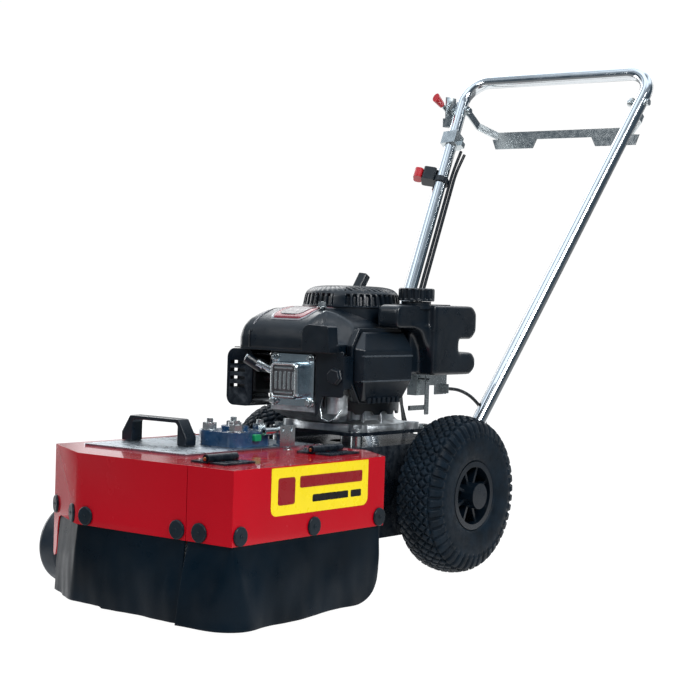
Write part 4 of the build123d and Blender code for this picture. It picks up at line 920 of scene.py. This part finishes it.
def hull(points):
    """Closed faceted body round some points."""
    shape = bmesh.new()
    for point in points:
        shape.verts.new(P(*point))
    made = bmesh.ops.convex_hull(shape, input=shape.verts)
    loose = [v for v in made["geom_interior"] if isinstance(v, bmesh.types.BMVert)]
    bmesh.ops.delete(shape, geom=loose, context="VERTS")
    bmesh.ops.dissolve_limit(shape, angle_limit=math.radians(2), verts=shape.verts, edges=shape.edges)
    mesh = bpy.data.meshes.new("hull")
    shape.to_mesh(mesh)
    shape.free()
    return mesh


def air_filter():
    """Faceted filter cover with two bands and a toothed foot, its base, and the panel in front of them."""
    back = [(-184, 314), (-184, 366), (-166, 393), (-61, 393), (-47, 366), (-47, 312), (-61, 282), (-165, 282)]
    front = [(-181, 316), (-181, 364), (-51, 364), (-51, 316)]
    cap = [(x, y, z) for x in (104.2, 108) for y, z in back] + [(123.6, y, z) for y, z in front]
    cap += [(112.5, -166, 391.5), (112.5, -62, 391.5), (113.5, -162, 284), (113.5, -64, 284)]
    look = dict(bevel=1.8, segments=3, smooth=14)
    piece("air_filter_cover_moulded", hull(cap), "black_plastic", node="air_filter_cover", **look)
    bands = [(-182.0, -49.6, 353.5, 356.5), (-182.0, -49.8, 313.6, 316.4)]
    parts = [slab(oblong(*band, 1.2, 3), "X", 118, 124.0) for band in bands]
    solid("air_filter_bands", parts, "black_plastic", paint="moulding_edge", bevel=0.5)
    teeth = [block(112, 117, y, y + 8, 279, 288) for y in range(-160, -70, 13)]
    solid("air_filter_teeth", teeth, "black_plastic", bevel=0.8)
    flange = rounded([(-188, 311), (-188, 371), (-170, 398.5), (-57, 398.5), (-46.4, 377), (-46.4, 300),
                      (-57, 278), (-165, 278)], 5, 4)
    step = [(y * 0.97 - 3.5, z * 0.97 + 10) for y, z in flange]
    base = [slab(flange, "X", 98, 103.6), slab(step, "X", 90.5, 98)]
    solid("air_filter_base_moulded", base, "black_plastic", node="air_filter_base", bevel=1.4, segments=3)
    panel = slab(rounded([(47, 289), (47, 361), (103.5, 361), (103.5, 289)], 4, 4), "Y", -208.8, -206)
    solid("intake_panel", [panel, block(99, 103.5, -206.5, -186, 302, 354)], "black_plastic", bevel=1.2)
    knob = revolved([(14.5, 0), (14.5, 3), (13, 4), (13, 8.5), (11.6, 10)], (89, -208.6, 322), (0, -1, 0), 6)
    solid("intake_panel_knob", [knob], "black_plastic", bevel=1.0, smooth=25)


# ---------------------------------------------------------------- brush
# Radius of each ring of tufts, how many it has, and how far they lean out in degrees.
BRUSH_RINGS = ((138.0, 24, 12.0), (108.0, 18, 8.0))
DISC_UNDERSIDE = 84
TUFT_LENGTH = 77
WIRES_IN_TUFT = 15
WIRE_STEPS = 6


def brush():
    """Bundles of wire that lean out from under the disc, and a socket for each."""
    rng = random.Random(7)
    wires, sockets = [], []
    for ring_r, count, lean in BRUSH_RINGS:
        reach = TUFT_LENGTH * math.tan(math.radians(lean))
        for co, si in spokes(count):
            centre = (BRUSH_X + ring_r * co, BRUSH_Y + ring_r * si, 0)
            sockets.append(revolved([(7.6, 78), (7.6, 83.8)], centre, UP, 16))
            for _ in range(WIRES_IN_TUFT):
                a0, r0 = rng.uniform(0, 6.283), 4.6 * math.sqrt(rng.random())
                spread = rng.uniform(1.05, 1.55)
                line = []
                for k in range(WIRE_STEPS + 1):
                    t = k / WIRE_STEPS
                    opened = r0 * (1 + (spread - 1) * t)
                    radial = ring_r + reach * t + opened * math.cos(a0) + 0.7 * math.sin(k * 2.4 + a0)
                    sideways = opened * math.sin(a0)
                    z = DISC_UNDERSIDE - (DISC_UNDERSIDE - 7.5 - 2 * rng.random()) * t
                    x, y = radial * co - sideways * si, radial * si + sideways * co
                    line.append((BRUSH_X + x, BRUSH_Y + y, z))
                wires.append(tube(line, 0.75, 4))
    solid("brush_wires", wires, "brush_wire", "brush", "brush_tufts", smooth=60)
    solid("brush_sockets", sockets, "zinc", "brush", bevel=0.5)


# ---------------------------------------------------------------- side flap and hinges
LABEL_Y = (-588.0, -374.0)
LABEL_Z = (152.0, 217.0)
LABEL_X, MARK_X = 282.05, 282.2
INK = 0.12
HINGE_YS = ((-629.0, -568.0), (-404.0, -335.0))
# Place in plan of each rubber button, and the direction it faces.
FLAP_BUTTONS = (((224.7, -664), (0, -1)), ((282, -649), (1, 0)), ((282, -495.5), (1, 0)),
                ((282, -346), (1, 0)))
HOOD_BUTTONS = (((9.5, -664), (0, -1)), ((184.6, -664), (0, -1)), ((-27.6, -653.96), (-0.495, -0.869)),
                ((-114.5, -604.4), (-0.495, -0.869)), ((-127.5, -412), (-1, 0)), ((-127.5, -310), (-1, 0)))
BUTTON_Z = 132.0


def printed(name, outline, x, paint):
    """Thin printed shape on the flap's side, from a (y, z) outline."""
    solid(name, [slab(outline, "X", x, x + INK)], "red_paint", "flap", paint=paint, smooth=60)


def flap_label():
    """Plain yellow machine label: a dark red field, and generic bars where its text would be."""
    (y0, y1), (z0, z1) = LABEL_Y, LABEL_Z
    printed("label_ground", oblong(y0, y1, z0, z1, [11, 11, 1.5, 1.5], 6), LABEL_X, "label_yellow")
    marks = [((y0 + 14, y0 + 50, z0 + 14, z1 - 14), 4, "label_crimson"),
             ((y0 + 60, y1 - 14, z1 - 30, z1 - 14), 3, "label_crimson"),
             ((y0 + 88, y1 - 46, z0 + 14, z0 + 24), 2, "label_black"),
             ((y1 - 40, y1 - 16, z0 + 14, z0 + 24), 2, "label_black")]
    for index, (sides, radius, paint) in enumerate(marks):
        printed(f"label_mark_{index}", oblong(*sides, radius, 6), MARK_X, paint)


def button_centres():
    """Small raised ring round the dimple in the middle of each rubber button."""
    profile = [(3.2, 3.3), (3.0, 4.0), (2.2, 4.2), (1.4, 3.7), (0.3, 3.55)]
    for name, places, body in (("flap_button_centres", FLAP_BUTTONS, "flap"),
                               ("skirt_button_centres", HOOD_BUTTONS, "chassis")):
        rings = [revolved(profile, (x, y, BUTTON_Z), (nx, ny, 0), 24) for (x, y), (nx, ny) in places]
        solid(name, rings, "button_rubber", body, smooth=50)


def hinge_details():
    """Copper pin ends, and two black rivets in each hood-side leaf."""
    ends, rivets = [], []
    for low, high in HINGE_YS:
        ends.append(revolved([(2.6, 0), (2.6, 1.2), (1.4, 1.9)], (200, low - 0.9, 225.6), (0, -1, 0), 20))
        for share in (0.18, 0.82):
            y = low + (high - low) * share
            rivets.append(revolved([(3.4, 0), (3.1, 1.1), (1.6, 1.8)], (183, y, 222.0), UP, 20))
    solid("hinge_pin_ends", ends, "zinc", paint="pin_copper")
    solid("hinge_rivets", rivets, "black_paint")


# ---------------------------------------------------------------- engine details
# Place of each valve cover bolt and the radius of its flange.
VALVE_BOLTS = ((-34, 277, 8.0), (39, 277, 8.6), (-34, 347, 5.6), (39, 347, 5.6))
BOLT_SEAT_Y = -211


def valve_cover_details():
    """Bead round the raised middle, plain pressed ribs and flanged bolts."""
    bead = [(x, -229.4, z) for x, z in closed(oblong(-26, 24, 285, 338, 7, 6))]
    parts = [tube(bead, 2.2, 12, False)]
    for x in range(-19, 26, 9):
        parts.append(slab(oblong(x, x + 5, 297, 326, 2.2, 4), "Y", -230.9, -229.5))
    for z in (290.5, 330.0):
        parts.append(slab(oblong(-20, 18, z, z + 3, 1.4, 4), "Y", -230.8, -229.5))
    solid("valve_cover_pressing", parts, "zinc", bevel=0.5)
    solid("valve_cover_field", [slab(oblong(-25, 23, 286, 337, 6, 6), "Y", -230.3, -229)], "muffler_steel")
    bolts = []
    for x, z, r in VALVE_BOLTS:
        seat = (x, BOLT_SEAT_Y, z)
        bolts.append(revolved([(r, 0), (r, 1.4), (r * 0.8, 2.6)], seat, (0, -1, 0), 24))
        bolts.append(revolved([(r * 0.72, 2.2), (r * 0.72, 7.5), (r * 0.6, 8.4)], seat, (0, -1, 0), 6))
    solid("valve_cover_bolts", bolts, "zinc", bevel=0.5, smooth=30)


def baffles_and_shade_sheets():
    """Black sheets round the cylinder: partly its baffles, partly dark sheets put in as painted shade where the
    space under the cowl and below the valve cover lies in shade.
    """
    front = slab([(-48, 353), (-48, 362), (60, 362), (60, 353)], "Y", -206.5, -204)
    left = block(-52, -49.5, -203, -60, 270, 362)
    wall = block(-112, -49, -92, -88, 262, 362)
    roof = block(-118, 84, -218, 20, 359.5, 361)
    apron = slab([(48, 290), (60, 290), (54, 262), (48, 256)], "Y", -208.5, -206)
    # The front, roof and apron sheets are painted shade: dark sheets that close off where it is shaded under
    # the cowl.
    solid("cylinder_baffles_and_shade_sheets", [front, left, wall, roof, apron], "black_plastic", bevel=0.6)


def crankcase_edge():
    """Toothed lower edge of the blower housing, and the crankcase's ribs and foot below it."""
    columns = 96
    levels = ((80.5, 276), (84.5, 276), (84.5, 262), (80.5, 262))
    points = []
    for r, z in levels:
        for k, (co, si) in enumerate(spokes(columns)):
            drop = 6.0 if z < 270 and k % 6 < 3 else 0.0
            points.append((r * co, CRANK_Y + r * si, z - drop))
    faces = grid_faces(4, columns, wrap=True)
    faces += [(3 * columns + k, 3 * columns + (k + 1) % columns, (k + 1) % columns, k) for k in range(columns)]
    solid("crankcase_toothed_edge", [(points, faces)], "black_plastic", bevel=0.5)
    parts = []
    for degrees in range(200, 351, 25):
        co, si = math.cos(math.radians(degrees)), math.sin(math.radians(degrees))
        line = [(r * co, CRANK_Y + r * si, z) for r, z in ((81, 238), (79, 252), (75.5, 264))]
        parts.append(tube(line, 3.2, 8))
    foot = [(95, 231), (95.3, 238), (92, 241.5), (84, 243), (79, 247)]
    parts.append(revolved(foot, CRANK_FOOT, UP, 120, False))
    solid("crankcase_foot", parts, "cast_aluminium", smooth=50)


def grease_cap():
    """Green cap on the upper bearing's grease point."""
    cap = slab(oblong(-419, -405, 231, 241, 2, 4), "X", 99, 106)
    solid("grease_cap", [cap], "red_plastic", paint="grease_cap_green", bevel=1.0, segments=3)


def starter_guide():
    """Cord guide that stands on the cowl's rear edge, under the starter grip."""
    guide = tube([(-66, 16, 396), (-66, 20, 418), (-66, 23.4, 433.6)], 8.5, 20)
    solid("starter_cord_guide", [guide], "black_plastic", bevel=1.0)


def carburettor_details():
    """Wire bail under the float bowl, its bracket and the plug's metal cap."""
    wire = [(52, -192, 290), (50, -198, 270), (56, -200, 253), (70, -201, 249), (84, -200, 254),
            (91, -194, 268)]
    solid("bowl_bail", [tube(spaced(wire, 30), 1.5, 8)], "zinc", smooth=60)
    plates = [block(44, 92, -203, -194, 288, 291), block(44, 47, -203, -192, 279, 290)]
    solid("bowl_bracket", plates, "muffler_steel", bevel=0.6)
    seat, end = Vector((-50, -204, 327)), Vector((-84, -226, 344))
    profile = [(7.5, -2), (7.5, 12), (9.2, 13), (9.2, 24), (6.5, 25), (6.5, 38), (8.2, 39), (8.2, 45), (5, 46)]
    solid("plug_cap", [revolved(profile, seat, end - seat, 28)], "zinc", bevel=0.5)


# ---------------------------------------------------------------- assembly
# Bevel width in millimetres of each CAD node that is only softened.
SOFTENED = {
    "hood_shell": 1.0, "side_flap": 1.0, "head_plate": 0.7, "grab_handle": 2.0, "frame_body": 1.2,
    "engine_plate": 0.8, "spindle_bearings": 2.5, "head_fasteners": 0.6, "skirt_buttons": 0.5,
    "flap_buttons": 0.5, "muffler_guard": 1.0, "crankcase": 1.2, "valve_cover": 0.8, "cylinder_block": 0.5,
    "stop_switch": 1.2, "stop_knob": 2.0, "throttle_grip": 1.2, "left_rim": 0.8, "right_rim": 0.8,
    "dead_man_bail": 0.5, "hinge_fixed_leaves": 0.5, "hinge_moving_leaves": 0.5, "starter_grip": 1.0,
    "carburettor": 1.0, "head_bracket": 0.4, "throttle_bracket": 0.4, "control_bracket": 0.4,
    "engine_fasteners": 0.4, "frame_bolts": 0.4,
}

make_camera()
make_stage()
for node_name, node_object in NODES.items():
    for material_slot in node_object.material_slots:
        material_slot.material = finish_of(SLOT_OF[node_name])
tyre("left", 1)
tyre("right", -1)
support_tyre()
skirts()
cowl()
cowl_details()
dome()
fuel_tank()
fuel_cap()
air_filter()
brush()
flap_label()
valve_cover_details()
baffles_and_shade_sheets()
crankcase_edge()
grease_cap()
hinge_details()
button_centres()
starter_guide()
carburettor_details()
for node_name, width in SOFTENED.items():
    softened(node_name, width)
